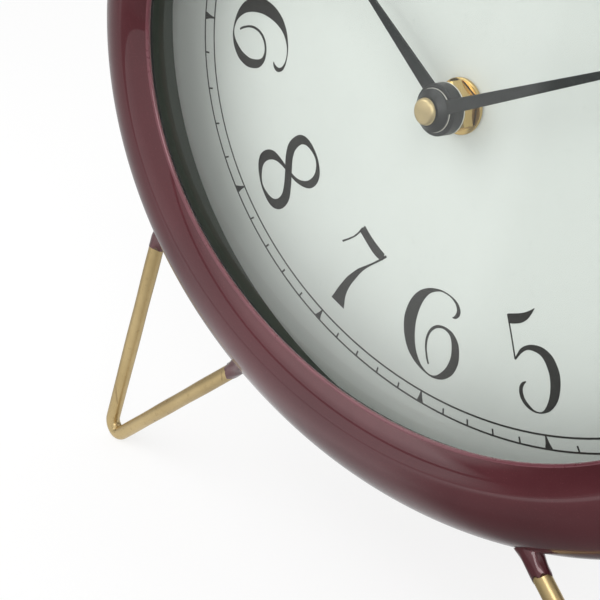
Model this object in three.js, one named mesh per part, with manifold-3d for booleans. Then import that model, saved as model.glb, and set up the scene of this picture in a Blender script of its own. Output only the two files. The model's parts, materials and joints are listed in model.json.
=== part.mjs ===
// Oval table clock on three bent wire legs: pressed metal case, glass, dial, hands and quartz movement.
// Millimetres and degrees, +Z up. The clock faces -Y and stands on z = 0.
import * as THREE from 'three';
import { mergeVertices } from 'three/addons/utils/BufferGeometryUtils.js';
import Module from 'manifold-3d';

const wasm = await Module();
wasm.setup();

// Stance
const leanBack = 7.7;             // the dial leans back from upright
const hubHeight = 105.1;          // middle of the dial above the table
const seatGap = 0.3;              // left between pieces that touch
const runningGap = 0.3;           // round a shaft in its bore

// Case: every oval is this much longer to each side than it is up and down
const ovalStretch = 18.6;
const caseHalfHeight = 74.1;
const caseWall = 0.8;
const caseBack = 20.3;            // rear edge, behind the front of the dial
const rimFront = 19.4;            // front of the rolled rim, ahead of the dial
const rimRollRadius = 10.1;
const rimLipTurn = 48.6;          // how far the roll turns in past its front

// Glass and dial
const gasketThickness = 0.8;
const gasketWidth = 3;
const glassThickness = 2;
const glassEdgeGap = 0.4;
const spacerWall = 3.2;
const dialThickness = 1;

// Rear cover
const coverThickness = 0.8;
const coverRecess = 2;            // cover lies this far inside the case's rear edge
const windowMargin = 1;           // round the movement
const tabWidth = 10;
const tabThickness = 1;
const tabFlange = 8;
const screwInset = 4.5;           // screw axis in from the tab's outer face
const screwRadius = 1.4;
const screwHeadRadius = 2.8;
const screwHeadHeight = 1.5;
const screwLength = 5;

// Hub stack, from the dial forward
const bushingRadius = 3.5;
const bushingWall = 0.8;
const bushingFlangeRadius = 5;
const bushingFlangeThickness = 0.6;
const rubberWasherRadius = 11;
const rubberWasherThickness = 0.8;
const brassWasherRadius = 5.1;
const brassWasherThickness = 0.6;
const nutRadius = 4.8;            // across the corners of the hexagon
const nutThickness = 2.9;
const hourBossRadius = 4.6;
const hourBossThickness = 2.6;
const minuteBossRadius = 3.8;
const minuteBossThickness = 1.7;
const capNutRadius = 2.4;
const capNutThickness = 0.8;
const capNutRoof = 0.3;
const arborRadius = 1.5;
const arborTipRadius = 1;
const hourPipeWall = 0.6;

// Hands, set at eleven minutes past ten
const minuteHandAngle = 66.4;
const hoursPastTwelve = 10;
const minuteHandLength = 52;
const minuteHandWidth = 2.6;
const hourHandLength = 35;
const hourHandWidth = 3.2;
const handTipWidth = 0.7;
const handThickness = 0.5;

// Movement housing
const movementHeight = 56;
const movementAboveHub = 22;
const movementWall = 1.5;
const movementLid = 1.6;
const movementTray = 14.6;        // depth of the rear half of the housing
const batteryRadius = 7.1;
const batteryLength = 50.2;
const batteryNub = 1.2;
const batteryNubRadius = 2.7;
const batteryPlay = 0.4;
const contactThickness = 0.8;
const contactSize = 9;

// Wheels of the movement: pitch radii, and the depth of each layer behind the lid
const wheelThickness = 0.8;
const wheelArborRadius = 0.7;
const meshGap = 0.3;              // between the rims of two wheels in mesh
const motionDistance = 12;        // minute pinion to motion wheel
const motionReduction = 3;        // motion wheel to minute pinion
const hourReduction = 4;          // hour wheel to motion pinion
const centreWheelRadius = 10;
const thirdReduction = 7.5;
const thirdWheelRadius = 8;
const secondReduction = 8;
const secondWheelRadius = 7;
const layerPitch = 1.6;
const toothPitch = 2.2;           // along the rim, tooth to tooth
const toothDepth = 0.6;

// Drive and electronics
const knobRadius = 5;
const knobHeight = 3;
const knobScallopDepth = 0.5;
const knobShaftRadius = 1.2;
const motorCanRadius = 4.5;
const motorWallGap = 0.6;         // motor can to the side of the tray
const coilRadius = 3.6;
const coilLength = 16;
const coreWidth = 2.4;
const coreThickness = 1.6;
const boardWidth = 24;
const boardHeight = 7;
const boardThickness = 1.2;
const crystalRadius = 1;
const crystalLength = 6;

// Legs of bent round wire
const wireDiameter = 3.5;
const wireBend = 2.6;             // centre line radius at the foot
const footFlat = 0.3;             // ground off under each foot
const legPlane = -13;             // depth of the two front legs
const frontBendTilt = 33;         // middle of a front leg's bend, from upright
const frontFootSpread = 87.9;     // from the middle to each front foot
const upperJointTurn = 50.7;        // joints on the case, turned from straight down
const lowerJointTurn = 25.8;
const rearJointTurn = 14;
const rearJointDepth = 14;
const rearFootReach = 32;         // rear foot behind the hub
const beadLength = 2.6;           // on the side where the wire leans away from the case
const beadSwell = 0.5;

// Facets, and how far a cutter passes the faces that it cuts
const ovalSteps = 64;
const roundSteps = 20;
const fineSteps = 24;
const thinSteps = 12;
const rollSteps = 7;
const bendSteps = 6;
const cutThrough = 1;

// Sizes that follow from the above
const radians = THREE.MathUtils.degToRad;
const caseInner = caseHalfHeight - caseWall;
const rollMiddle = caseHalfHeight - rimRollRadius;
const rollDepth = rimRollRadius - rimFront;
const rollInner = rimRollRadius - caseWall;
const lipHalfHeight = rollMiddle - rimRollRadius * Math.sin(radians(rimLipTurn));
const lipDepth = rollDepth - rollInner * Math.cos(radians(rimLipTurn));
const gasketFront = lipDepth + seatGap;
const glassFront = gasketFront + gasketThickness + seatGap;
const glassBack = glassFront + glassThickness;
const glassRoom = Math.sqrt(rollInner ** 2 - (glassFront - rollDepth) ** 2);
const glassHalfHeight = rollMiddle + glassRoom - glassEdgeGap;
const spacerFront = glassBack + seatGap;
const spacerRoom = Math.sqrt(rollInner ** 2 - (spacerFront - rollDepth) ** 2);
const spacerHalfHeight = rollMiddle + spacerRoom - seatGap;
const dialHalfHeight = caseInner - seatGap;
const coverBack = caseBack - coverRecess;
const coverFront = coverBack - coverThickness;
const tabBack = coverFront - seatGap;
const tabFront = dialThickness + seatGap;

const lidFront = dialThickness + seatGap + rubberWasherThickness + seatGap;
const lidBack = lidFront + movementLid;
const trayFront = lidBack + seatGap;
const trayBack = trayFront + movementTray;
const trayFloor = trayBack - movementWall;
const movementHalfWidth = batteryLength / 2 + contactThickness + 2 * seatGap + movementWall;
const cavityHalfWidth = movementHalfWidth - movementWall;
const movementTop = movementAboveHub;
const movementBottom = movementAboveHub - movementHeight;
const bayBottom = movementBottom + movementWall;
const bayTop = bayBottom + 2 * (batteryRadius + batteryPlay);
const cavityBottom = bayTop + movementWall;
const bayFront = trayFront + movementWall;

const bushingBore = bushingRadius - bushingWall;
const hourPipeRadius = bushingBore - runningGap;
const hourPipeBore = hourPipeRadius - hourPipeWall;
const threadHole = bushingRadius + runningGap;
const nutBack = -(seatGap + brassWasherThickness + seatGap);
const nutFront = nutBack - nutThickness;
const hourBossBack = nutFront - seatGap;
const hourBossFront = hourBossBack - hourBossThickness;
const minuteBossBack = hourBossFront - seatGap;
const minuteBossFront = minuteBossBack - minuteBossThickness;
const capNutBack = minuteBossFront - seatGap;
const capNutFront = capNutBack - capNutThickness;

const hourLayer = trayFront + bushingFlangeThickness + seatGap;
const motionLayer = hourLayer + layerPitch;
const centreLayer = motionLayer + 1.5 * layerPitch;
const thirdLayer = centreLayer + layerPitch;
const secondLayer = thirdLayer + layerPitch;
const minutePinionRadius = motionDistance / (1 + motionReduction);
const motionWheelRadius = motionDistance - minutePinionRadius;
const motionPinionRadius = motionDistance / (1 + hourReduction);
const hourWheelRadius = motionDistance - motionPinionRadius;
const thirdPinionRadius = centreWheelRadius / thirdReduction;
const thirdDistance = centreWheelRadius + thirdPinionRadius;
const secondPinionRadius = thirdWheelRadius / secondReduction;
const secondDistance = thirdWheelRadius + secondPinionRadius;
const arborBack = trayFloor - seatGap;

const wireRadius = wireDiameter / 2;
const hourHandAngle = (360 * hoursPastTwelve + minuteHandAngle) / 12;

// A closed mesh with shared corners, no empty triangles and its faces pointing out
function closed(source) {
  const bare = new THREE.BufferGeometry();
  bare.setAttribute('position', source.getAttribute('position').clone());
  bare.setIndex(source.getIndex());
  const merged = mergeVertices(bare, 1e-4);
  const place = merged.getAttribute('position');
  const index = merged.getIndex().array;
  const corner = [new THREE.Vector3(), new THREE.Vector3(), new THREE.Vector3()];
  const kept = [];
  let volume = 0;
  for (let i = 0; i < index.length; i += 3) {
    const [a, b, c] = [index[i], index[i + 1], index[i + 2]];
    if (a !== b && b !== c && c !== a) {
      kept.push(a, b, c);
      corner[0].fromBufferAttribute(place, a);
      corner[1].fromBufferAttribute(place, b);
      corner[2].fromBufferAttribute(place, c);
      volume += corner[0].dot(corner[1].cross(corner[2]));
    }
  }
  merged.setIndex(volume < 0 ? kept.reverse() : kept);
  return merged;
}

function toSolid(geometry) {
  const mesh = closed(geometry);
  const vertProperties = new Float32Array(mesh.getAttribute('position').array);
  const triVerts = new Uint32Array(mesh.getIndex().array);
  return new wasm.Manifold(new wasm.Mesh({ numProp: 3, vertProperties, triVerts }));
}

function fromSolid(solid) {
  const mesh = solid.getMesh();
  const geometry = new THREE.BufferGeometry();
  geometry.setAttribute('position', new THREE.BufferAttribute(new Float32Array(mesh.vertProperties), 3));
  geometry.setIndex(Array.from(mesh.triVerts));
  return geometry;
}

function cut(base, ...tools) {
  return fromSolid(tools.reduce((solid, tool) => solid.subtract(toSolid(tool)), toSolid(base)));
}

function join(base, ...others) {
  return fromSolid(others.reduce((solid, other) => solid.add(toSolid(other)), toSolid(base)));
}

// Points of a circle arc in a turned profile: turn 0 is the front, 90 is outward
function rollArc(radius, fromTurn, toTurn, steps) {
  const points = [];
  for (let i = 0; i <= steps; i += 1) {
    const turn = radians(fromTurn + (toTurn - fromTurn) * i / steps);
    points.push([rollMiddle + radius * Math.sin(turn), rollDepth - radius * Math.cos(turn)]);
  }
  return points;
}

// A profile of [radius, depth] points turned about the clock's axis
function turned(profile, steps = roundSteps) {
  const points = [...profile, profile[0]].map(([radius, depth]) => new THREE.Vector2(radius, depth));
  return new THREE.LatheGeometry(points, steps);
}

// The same, with each ring drawn out sideways into an oval
function turnedOval(profile) {
  const geometry = turned(profile, ovalSteps);
  const place = geometry.getAttribute('position');
  for (let i = 0; i < place.count; i += 1) {
    const radius = Math.hypot(place.getX(i), place.getZ(i));
    const side = radius > 0 ? place.getX(i) / radius : 0;
    place.setX(i, place.getX(i) + ovalStretch * side);
  }
  return geometry;
}

function ring(inner, outer, front, back, steps) {
  return turned([[inner, front], [outer, front], [outer, back], [inner, back]], steps);
}

function ovalRing(inner, outer, front, back) {
  return turnedOval([[inner, front], [outer, front], [outer, back], [inner, back]]);
}

function disc(radius, front, back, steps) {
  return turned([[0, front], [radius, front], [radius, back], [0, back]], steps);
}

function roundOutline(radius, steps = roundSteps) {
  return Array.from({ length: steps }, (_, i) => {
    const turn = 2 * Math.PI * i / steps;
    return new THREE.Vector2(-radius * Math.sin(turn), radius * Math.cos(turn));
  });
}

function ovalOutline(halfHeight) {
  return roundOutline(1, ovalSteps).map((p) => {
    return new THREE.Vector2(p.x * (halfHeight + ovalStretch), p.y * halfHeight);
  });
}

// A flat outline in the plane of the dial, thick from front to back
function plate(outline, front, back, holes = []) {
  const shape = new THREE.Shape(outline);
  shape.holes = holes.map((points) => new THREE.Path(points));
  const geometry = new THREE.ExtrudeGeometry(shape, { depth: back - front, bevelEnabled: false });
  return geometry.rotateX(Math.PI / 2).translate(0, back, 0);
}

function block(left, right, front, back, bottom, top) {
  const geometry = new THREE.BoxGeometry(right - left, back - front, top - bottom);
  return geometry.translate((left + right) / 2, (front + back) / 2, (bottom + top) / 2);
}

function rectangle(left, right, bottom, top) {
  const corners = [[left, bottom], [right, bottom], [right, top], [left, top]];
  return corners.map(([x, y]) => new THREE.Vector2(x, y));
}

function moved(outline, x, y) {
  return outline.map((p) => new THREE.Vector2(p.x + x, p.y + y));
}

// A wheel with simple teeth, which end short of the pitch circle
function toothedDisc(pitchRadius, layer) {
  const teeth = Math.max(8, Math.round(2 * Math.PI * pitchRadius / toothPitch));
  const tip = pitchRadius - meshGap / 2;
  const root = Math.max(tip - toothDepth, tip / 2);
  const outline = [];
  for (let i = 0; i < teeth; i += 1) {
    [[0, root], [0.25, tip], [0.5, tip], [0.75, root]].forEach(([part, radius]) => {
      const turn = 2 * Math.PI * (i + part) / teeth;
      outline.push(new THREE.Vector2(radius * Math.sin(turn), radius * Math.cos(turn)));
    });
  }
  return plate(outline, layer, layer + wheelThickness);
}

const group = new THREE.Group();
const clock = new THREE.Group();
clock.rotation.x = -radians(leanBack);
clock.position.z = hubHeight;
group.add(clock);

function finish(color, roughness, metalness) {
  return new THREE.MeshStandardMaterial({ color, roughness, metalness });
}

const burgundy = finish(0x7a3a4a, 0.3, 0.4);
const brass = finish(0xc8a868, 0.35, 0.9);
const black = finish(0x2a2927, 0.5, 0.1);
const steel = finish(0x9a9a98, 0.4, 0.9);
const whiteNylon = finish(0xe4e2da, 0.6, 0);
const clearGlass = finish(0xdfe8e2, 0.05, 0);
const darkGrey = finish(0x3c403c, 0.5, 0.1);
const paleDial = finish(0xd2d8d0, 0.7, 0);
const copper = finish(0xb06a3a, 0.4, 0.8);
const boardGreen = finish(0x2f5a3a, 0.6, 0);
const cellBlue = finish(0x3b6a8c, 0.4, 0.3);

function piece(name, geometry, material, parent = clock) {
  const mesh = new THREE.Mesh(closed(geometry), material);
  mesh.name = name;
  parent.add(mesh);
  return mesh;
}

// Case shell: rolled rim and straight side in one pressed sheet
piece('case_shell', turnedOval([
  ...rollArc(rimRollRadius, -rimLipTurn, 90, rollSteps),
  [caseHalfHeight, caseBack],
  [caseInner, caseBack],
  ...rollArc(rollInner, 90, -rimLipTurn, rollSteps),
]), burgundy);

// Glass on its gasket, lining and dial
const gasketInner = lipHalfHeight + seatGap;
const gasketBack = gasketFront + gasketThickness;
piece('glass_gasket', ovalRing(gasketInner, gasketInner + gasketWidth, gasketFront, gasketBack), black);
piece('glass_lens', plate(ovalOutline(glassHalfHeight), glassFront, glassBack), clearGlass);
const spacerInner = spacerHalfHeight - spacerWall;
piece('spacer_ring', ovalRing(spacerInner, spacerHalfHeight, spacerFront, -seatGap), darkGrey);
const dialOutline = ovalOutline(dialHalfHeight);
piece('dial_plate', plate(dialOutline, 0, dialThickness, [roundOutline(threadHole)]), paleDial);

// Tabs welded inside the case at the top, right, bottom and left, and the cover screwed to them
const innerHalfWidth = caseInner + ovalStretch;
function wallReach(along, across) {
  return along * Math.sqrt(1 - (tabWidth / 2 / across) ** 2) - seatGap;
}
const topReach = wallReach(caseInner, innerHalfWidth);
const sideReach = wallReach(innerHalfWidth, caseInner);
const tabPlaces = [
  { name: 'top', turn: 0, reach: topReach },
  { name: 'right', turn: 90, reach: sideReach },
  { name: 'bottom', turn: 180, reach: topReach },
  { name: 'left', turn: 270, reach: sideReach },
];
const screwHole = screwRadius + runningGap;
const screwHoles = tabPlaces.map(({ turn, reach }) => {
  const out = reach - screwInset;
  return moved(roundOutline(screwHole), out * Math.sin(radians(turn)), out * Math.cos(radians(turn)));
});
tabPlaces.forEach(({ name, turn, reach }) => {
  const half = tabWidth / 2;
  const upright = block(-half, half, tabFront, tabBack, reach - tabThickness, reach);
  const flange = block(-half, half, tabBack - tabThickness, tabBack, reach - tabFlange, reach);
  const hole = disc(screwHole, tabBack - tabThickness - cutThrough, tabBack + cutThrough);
  hole.translate(0, 0, reach - screwInset);
  const tab = piece(`case_tab_${name}`, cut(join(upright, flange), hole), steel);
  tab.rotation.y = radians(turn);

  const headFront = coverBack + seatGap;
  const screw = turned([
    [0, headFront - screwLength], [screwRadius, headFront - screwLength], [screwRadius, headFront],
    [screwHeadRadius, headFront], [screwHeadRadius, headFront + screwHeadHeight / 2],
    [screwHeadRadius / 2, headFront + screwHeadHeight], [0, headFront + screwHeadHeight],
  ]);
  const fastener = piece(`cover_screw_${name}`, screw.translate(0, 0, reach - screwInset), steel);
  fastener.rotation.y = radians(turn);
});
const windowHalf = movementHalfWidth + windowMargin;
const windowBottom = movementBottom - windowMargin;
const windowOutline = rectangle(-windowHalf, windowHalf, windowBottom, movementTop + windowMargin);
piece('back_cover', plate(dialOutline, coverFront, coverBack, [windowOutline, ...screwHoles]), black);

// Movement housing: a flat lid behind the dial and a tray with the battery bay
const lidOutline = rectangle(-movementHalfWidth, movementHalfWidth, movementBottom, movementTop);
piece('movement_lid', plate(lidOutline, lidFront, lidBack, [roundOutline(threadHole)]), black);
const trayBody = plate(lidOutline, trayFront, trayBack);
const gearSpace = block(-cavityHalfWidth, cavityHalfWidth, trayFront - cutThrough, trayFloor,
  cavityBottom, movementTop - movementWall);
const batteryBay = block(-cavityHalfWidth, cavityHalfWidth, bayFront, trayBack + cutThrough,
  bayBottom, bayTop);
const knobHole = disc(knobShaftRadius + runningGap, trayFloor - cutThrough, trayBack + cutThrough);
knobHole.translate(motionDistance, 0, 0);
piece('movement_tray', cut(trayBody, gearSpace, batteryBay, knobHole), black);

// Hub stack that clamps the movement to the dial
piece('threaded_bushing', turned([
  [bushingBore, nutFront], [bushingRadius, nutFront], [bushingRadius, trayFront],
  [bushingFlangeRadius, trayFront], [bushingFlangeRadius, trayFront + bushingFlangeThickness],
  [bushingBore, trayFront + bushingFlangeThickness],
]), brass);
piece('rubber_washer', ring(threadHole, rubberWasherRadius, dialThickness + seatGap,
  dialThickness + seatGap + rubberWasherThickness), black);
const washerFront = -seatGap - brassWasherThickness;
piece('brass_washer', ring(threadHole, brassWasherRadius, washerFront, -seatGap, fineSteps), brass);
piece('hex_nut', plate(roundOutline(nutRadius, 6), nutFront, nutBack, [roundOutline(threadHole)]), brass);

// Hands, each a tapering blade on a round boss
function hand(length, width, bossRadius, bore, bossFront, bossBack) {
  const root = width / 2;
  const tip = handTipWidth / 2;
  const outline = [[-root, 0], [root, 0], [tip, length], [-tip, length]];
  const blade = plate(outline.map(([x, y]) => new THREE.Vector2(x, y)), bossBack - handThickness, bossBack);
  const boss = disc(bossRadius, bossFront, bossBack, fineSteps);
  return cut(join(blade, boss), disc(bore, bossFront - cutThrough, bossBack + cutThrough));
}
const hourHand = piece('hour_hand', hand(hourHandLength, hourHandWidth, hourBossRadius,
  hourPipeRadius + runningGap, hourBossFront, hourBossBack), black);
hourHand.rotation.y = radians(hourHandAngle);
const minuteHand = piece('minute_hand', hand(minuteHandLength, minuteHandWidth, minuteBossRadius,
  arborRadius + runningGap, minuteBossFront, minuteBossBack), black);
minuteHand.rotation.y = radians(minuteHandAngle);
const tipBore = arborTipRadius + runningGap;
const tipFront = capNutFront + capNutRoof + seatGap;
piece('cap_nut', turned([
  [0, capNutFront], [capNutRadius - capNutRoof, capNutFront], [capNutRadius, capNutFront + capNutRoof],
  [capNutRadius, capNutBack], [tipBore, capNutBack], [tipBore, capNutFront + capNutRoof],
  [0, capNutFront + capNutRoof],
]), brass);

// Wheels on their arbors
const hourWheelBack = hourLayer + wheelThickness;
const hourPipe = disc(hourPipeRadius, hourBossFront, hourWheelBack);
piece('hour_wheel', cut(
  join(toothedDisc(hourWheelRadius, hourLayer), hourPipe),
  disc(hourPipeBore, hourBossFront - cutThrough, hourWheelBack + cutThrough),
), whiteNylon);
piece('centre_wheel', join(
  turned([
    [0, tipFront], [arborTipRadius, tipFront], [arborTipRadius, minuteBossFront],
    [arborRadius, minuteBossFront], [arborRadius, arborBack], [0, arborBack],
  ]),
  toothedDisc(minutePinionRadius, motionLayer),
  toothedDisc(centreWheelRadius, centreLayer),
), steel);

function wheelWithPinion(name, wheelRadius, wheelLayer, pinionRadius, pinionLayer, back) {
  return piece(name, join(
    disc(wheelArborRadius, trayFront, back, thinSteps),
    toothedDisc(wheelRadius, wheelLayer),
    toothedDisc(pinionRadius, pinionLayer),
  ), whiteNylon);
}
const knobShaftFront = trayFloor - 2 * movementWall;
const motionWheel = wheelWithPinion('motion_wheel', motionWheelRadius, motionLayer,
  motionPinionRadius, hourLayer, knobShaftFront - seatGap);
motionWheel.position.x = motionDistance;
const thirdWheel = wheelWithPinion('third_wheel', thirdWheelRadius, thirdLayer,
  thirdPinionRadius, centreLayer, arborBack);
thirdWheel.position.z = thirdDistance;
const secondWheel = wheelWithPinion('second_wheel', secondWheelRadius, secondLayer,
  secondPinionRadius, thirdLayer, arborBack);
secondWheel.position.set(-secondDistance, 0, thirdDistance);

// Setting knob with a scalloped grip, on the motion wheel's axis
const knobFront = trayBack + seatGap;
const knobScallops = 12;
const knobOutline = roundOutline(1, 2 * knobScallops).map((p, i) => {
  return p.multiplyScalar(i % 2 ? knobRadius : knobRadius - knobScallopDepth);
});
const knob = piece('setting_knob', join(
  disc(knobShaftRadius, knobShaftFront, knobFront + knobHeight),
  plate(knobOutline, knobFront, knobFront + knobHeight),
), black);
knob.position.x = motionDistance;

// Motor, coil and electronics on the floor of the tray
const motorX = motorCanRadius + motorWallGap - cavityHalfWidth;
const motorCanFront = secondLayer + wheelThickness + seatGap;
piece('motor_can', disc(motorCanRadius, motorCanFront, arborBack), steel)
  .position.set(motorX, 0, thirdDistance);
const coreTop = thirdDistance - motorCanRadius - seatGap;
const coilDepth = arborBack - coilRadius;
const coreOutline = rectangle(-coreWidth / 2, coreWidth / 2, -coreThickness / 2, coreThickness / 2);
const coreBore = rectangle(-coreWidth / 2 - seatGap, coreWidth / 2 + seatGap, -coreThickness / 2 - seatGap,
  coreThickness / 2 + seatGap);
function standing(outline, bottom, top, holes = []) {
  const shape = new THREE.Shape(outline);
  shape.holes = holes.map((points) => new THREE.Path(points));
  const geometry = new THREE.ExtrudeGeometry(shape, { depth: top - bottom, bevelEnabled: false });
  return geometry.translate(motorX, coilDepth, bottom);
}
const coilTop = coreTop - 2 * seatGap;
piece('motor_coil', standing(roundOutline(coilRadius), coilTop - coilLength, coilTop, [coreBore]), copper);
piece('motor_core', standing(coreOutline, coilTop - coilLength - 2 * seatGap, coreTop), steel);
const boardBottom = cavityBottom + seatGap;
const boardFront = arborBack - boardThickness;
piece('circuit_board', block(-boardWidth / 2, boardWidth / 2, boardFront, arborBack,
  boardBottom, boardBottom + boardHeight), boardGreen);
const crystal = disc(crystalRadius, -crystalLength / 2, crystalLength / 2, thinSteps);
crystal.rotateZ(Math.PI / 2);
piece('quartz_crystal', crystal.translate(-boardWidth / 4, boardFront - seatGap - crystalRadius,
  boardBottom + boardHeight / 2), steel);

// Battery cell between its two contacts
const batteryDepth = bayFront + seatGap + batteryRadius;
const batteryLevel = (bayBottom + bayTop) / 2;
const cellEnd = batteryLength / 2 - batteryNub;
const cell = turned([
  [0, -batteryLength / 2], [batteryRadius, -batteryLength / 2], [batteryRadius, cellEnd],
  [batteryNubRadius, cellEnd], [batteryNubRadius, batteryLength / 2], [0, batteryLength / 2],
]);
cell.rotateZ(-Math.PI / 2).translate(0, batteryDepth, batteryLevel);
piece('battery_cell', cell, cellBlue);
[['contact_minus', -1], ['contact_plus', 1]].forEach(([name, side]) => {
  const inner = batteryLength / 2 + seatGap;
  const half = contactSize / 2;
  const contact = block(inner, inner + contactThickness, -half, half, -half, half);
  contact.rotateZ(side < 0 ? Math.PI : 0).translate(0, batteryDepth, batteryLevel);
  piece(name, contact, steel);
});

// Legs: wires run from the case to a foot on the table and back, in world places
function toWorld(x, depth, height) {
  return new THREE.Vector3(x, depth, height).applyEuler(clock.rotation).add(clock.position);
}

// A place on the case's side, turned from straight down, and the way out of the wall there
function caseJoint(name, turnFromBelow, depth) {
  const turn = radians(turnFromBelow);
  const halfWidth = caseHalfHeight + ovalStretch;
  const point = toWorld(halfWidth * Math.sin(turn), depth, -caseHalfHeight * Math.cos(turn));
  const outward = new THREE.Vector3(Math.sin(turn) / halfWidth, 0, -Math.cos(turn) / caseHalfHeight);
  return { name, point, outward: outward.normalize().applyEuler(clock.rotation) };
}

class WirePath extends THREE.Curve {
  constructor(points) {
    super();
    this.points = points;
  }

  getPoint(t, target = new THREE.Vector3()) {
    const last = this.points.length - 1;
    const i = Math.min(Math.floor(t * last), last - 1);
    return target.lerpVectors(this.points[i], this.points[i + 1], t * last - i);
  }

  getPointAt(t, target) {
    return this.getPoint(t, target);
  }

  getSpacedPoints() {
    return this.points;
  }

  getTangentAt(t) {
    return this.getTangent(t);
  }
}

// Two straight runs that meet in a round bend under their corner, whose outside touches the table
function wireRoute(start, foot, end) {
  const out = start.clone().sub(foot).normalize();
  const back = end.clone().sub(foot).normalize();
  const halfAngle = out.angleTo(back) / 2;
  const toMiddle = out.clone().add(back).normalize();
  const middle = foot.clone().addScaledVector(toMiddle, wireBend);
  const side = out.clone().sub(back).normalize();
  const sweep = Math.PI / 2 - halfAngle;
  const points = [];
  for (let i = 0; i <= bendSteps; i += 1) {
    const turn = sweep - 2 * sweep * i / bendSteps;
    const spot = middle.clone().addScaledVector(side, wireBend * Math.sin(turn));
    points.push(spot.addScaledVector(toMiddle, -wireBend * Math.cos(turn)));
  }
  return [start, ...points, end];
}

function wireAlong(points) {
  const section = new THREE.Shape(roundOutline(wireRadius, thinSteps));
  const steps = points.length - 1;
  const extrudePath = new WirePath(points);
  return new THREE.ExtrudeGeometry(section, { steps, extrudePath, bevelEnabled: false });
}

// Solid of everything that the case takes up, with the gap that its welded pieces keep
const envelope = turnedOval([
  [0, -rimFront - seatGap],
  ...rollArc(rimRollRadius + seatGap, 0, 90, rollSteps),
  [caseHalfHeight + seatGap, caseBack + seatGap], [0, caseBack + seatGap],
]);
clock.updateMatrix();
envelope.applyMatrix4(clock.matrix);
const tableSize = 4 * (caseHalfHeight + ovalStretch);
const tableTop = new THREE.BoxGeometry(tableSize, tableSize, wireDiameter).translate(0, 0, -wireRadius);

// A leg's wire with the two weld beads round its ends
function addLeg(name, jointA, jointB, foot) {
  const intoCase = 2 * wireRadius;
  const [start, end] = [jointA, jointB].map(({ point }) => {
    return point.clone().addScaledVector(point.clone().sub(foot).normalize(), intoCase);
  });
  const route = wireRoute(start, foot, end);
  piece(name, cut(wireAlong(route), envelope, tableTop), brass, group);
  const bore = wireRadius + seatGap;
  const runs = [[jointA, route[0], route[1]], [jointB, route.at(-1), route.at(-2)]];
  runs.forEach(([joint, from, to]) => {
    const run = to.clone().sub(from).normalize();
    const slant = (bore + beadSwell) * Math.tan(run.angleTo(joint.outward));
    const bead = turned([
      [bore, 0], [bore + beadSwell, 0], [bore + beadSwell, intoCase + slant],
      [bore + beadSwell / 3, intoCase + slant + beadLength], [bore, intoCase + slant + beadLength],
    ], thinSteps);
    bead.applyQuaternion(new THREE.Quaternion().setFromUnitVectors(new THREE.Vector3(0, 1, 0), run));
    bead.translate(from.x, from.y, from.z);
    piece(`${name}_weld_${joint.name}`, cut(bead, envelope), burgundy, group);
  });
}

const footHeight = wireRadius - footFlat;
const lean = radians(leanBack);
const bendRise = wireBend * (1 - Math.cos(radians(frontBendTilt)));
const frontFootDrop = (footHeight + bendRise - hubHeight + legPlane * Math.sin(lean)) / Math.cos(lean);
[['left_leg', -1], ['right_leg', 1]].forEach(([name, side]) => {
  addLeg(name,
    caseJoint('upper', side * upperJointTurn, legPlane),
    caseJoint('lower', side * lowerJointTurn, legPlane),
    toWorld(side * frontFootSpread, legPlane, frontFootDrop));
});
addLeg('rear_leg',
  caseJoint('left', -rearJointTurn, rearJointDepth),
  caseJoint('right', rearJointTurn, rearJointDepth),
  new THREE.Vector3(0, rearFootReach, footHeight));

// The origin lies on the table, under the middle of the clock's box
const box = new THREE.Box3().setFromObject(group, true);
group.position.y = -(box.min.y + box.max.y) / 2;

export default group;
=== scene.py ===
# Oval table clock on bent wire legs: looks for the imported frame, seen close up from the right
import json
import math

import bmesh
import bpy
from mathutils import Matrix, Quaternion, Vector
from mathutils.geometry import tessellate_polygon


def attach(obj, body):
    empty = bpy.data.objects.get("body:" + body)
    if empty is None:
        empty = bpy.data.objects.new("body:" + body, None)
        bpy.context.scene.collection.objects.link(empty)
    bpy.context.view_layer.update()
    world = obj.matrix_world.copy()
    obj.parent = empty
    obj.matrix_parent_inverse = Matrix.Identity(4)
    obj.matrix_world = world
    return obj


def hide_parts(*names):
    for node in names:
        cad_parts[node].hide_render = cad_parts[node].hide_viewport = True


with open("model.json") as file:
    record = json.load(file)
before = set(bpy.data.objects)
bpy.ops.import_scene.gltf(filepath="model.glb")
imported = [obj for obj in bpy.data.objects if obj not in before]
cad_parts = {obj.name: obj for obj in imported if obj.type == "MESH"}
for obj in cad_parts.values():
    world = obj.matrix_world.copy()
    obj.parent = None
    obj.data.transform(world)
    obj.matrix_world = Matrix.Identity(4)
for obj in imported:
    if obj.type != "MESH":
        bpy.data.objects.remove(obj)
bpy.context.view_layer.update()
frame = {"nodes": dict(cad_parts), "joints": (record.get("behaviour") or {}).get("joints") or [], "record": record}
print("frame loaded:", len(frame["nodes"]), "nodes")

mm = 0.001
ovalSteps = 288
roundSteps = 96
mergeGap = 0.001           # points closer than this, in millimetres, become one

# The clock's own axes: x to the right, depth towards the back, z up along the leaning dial
hubJoint = next(joint for joint in frame["joints"] if joint["name"] == "minute_turn")
sideways = Vector((1, 0, 0))
backwards = Vector(hubJoint["axis"])
clockToRow = Matrix((sideways, backwards, sideways.cross(backwards))).transposed().to_4x4()
clockToRow.translation = Vector(hubJoint["pos_m"])
rowToClock = clockToRow.inverted()


def toRow(x, depth, z):
    return clockToRow @ (Vector((x, depth, z)) * mm)


def inRow(x, y, z):
    # for points that are in the row frame already
    return Vector((x, y, z)) * mm


def extent(node):
    # lowest and highest corner of a node along the clock's axes, in millimetres
    points = [rowToClock @ vertex.co / mm for vertex in frame["nodes"][node].data.vertices]
    low = Vector([min(p[i] for p in points) for i in range(3)])
    high = Vector([max(p[i] for p in points) for i in range(3)])
    return low, high


def fullTurns(steps):
    return [2 * math.pi * i / steps for i in range(steps)]


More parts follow.
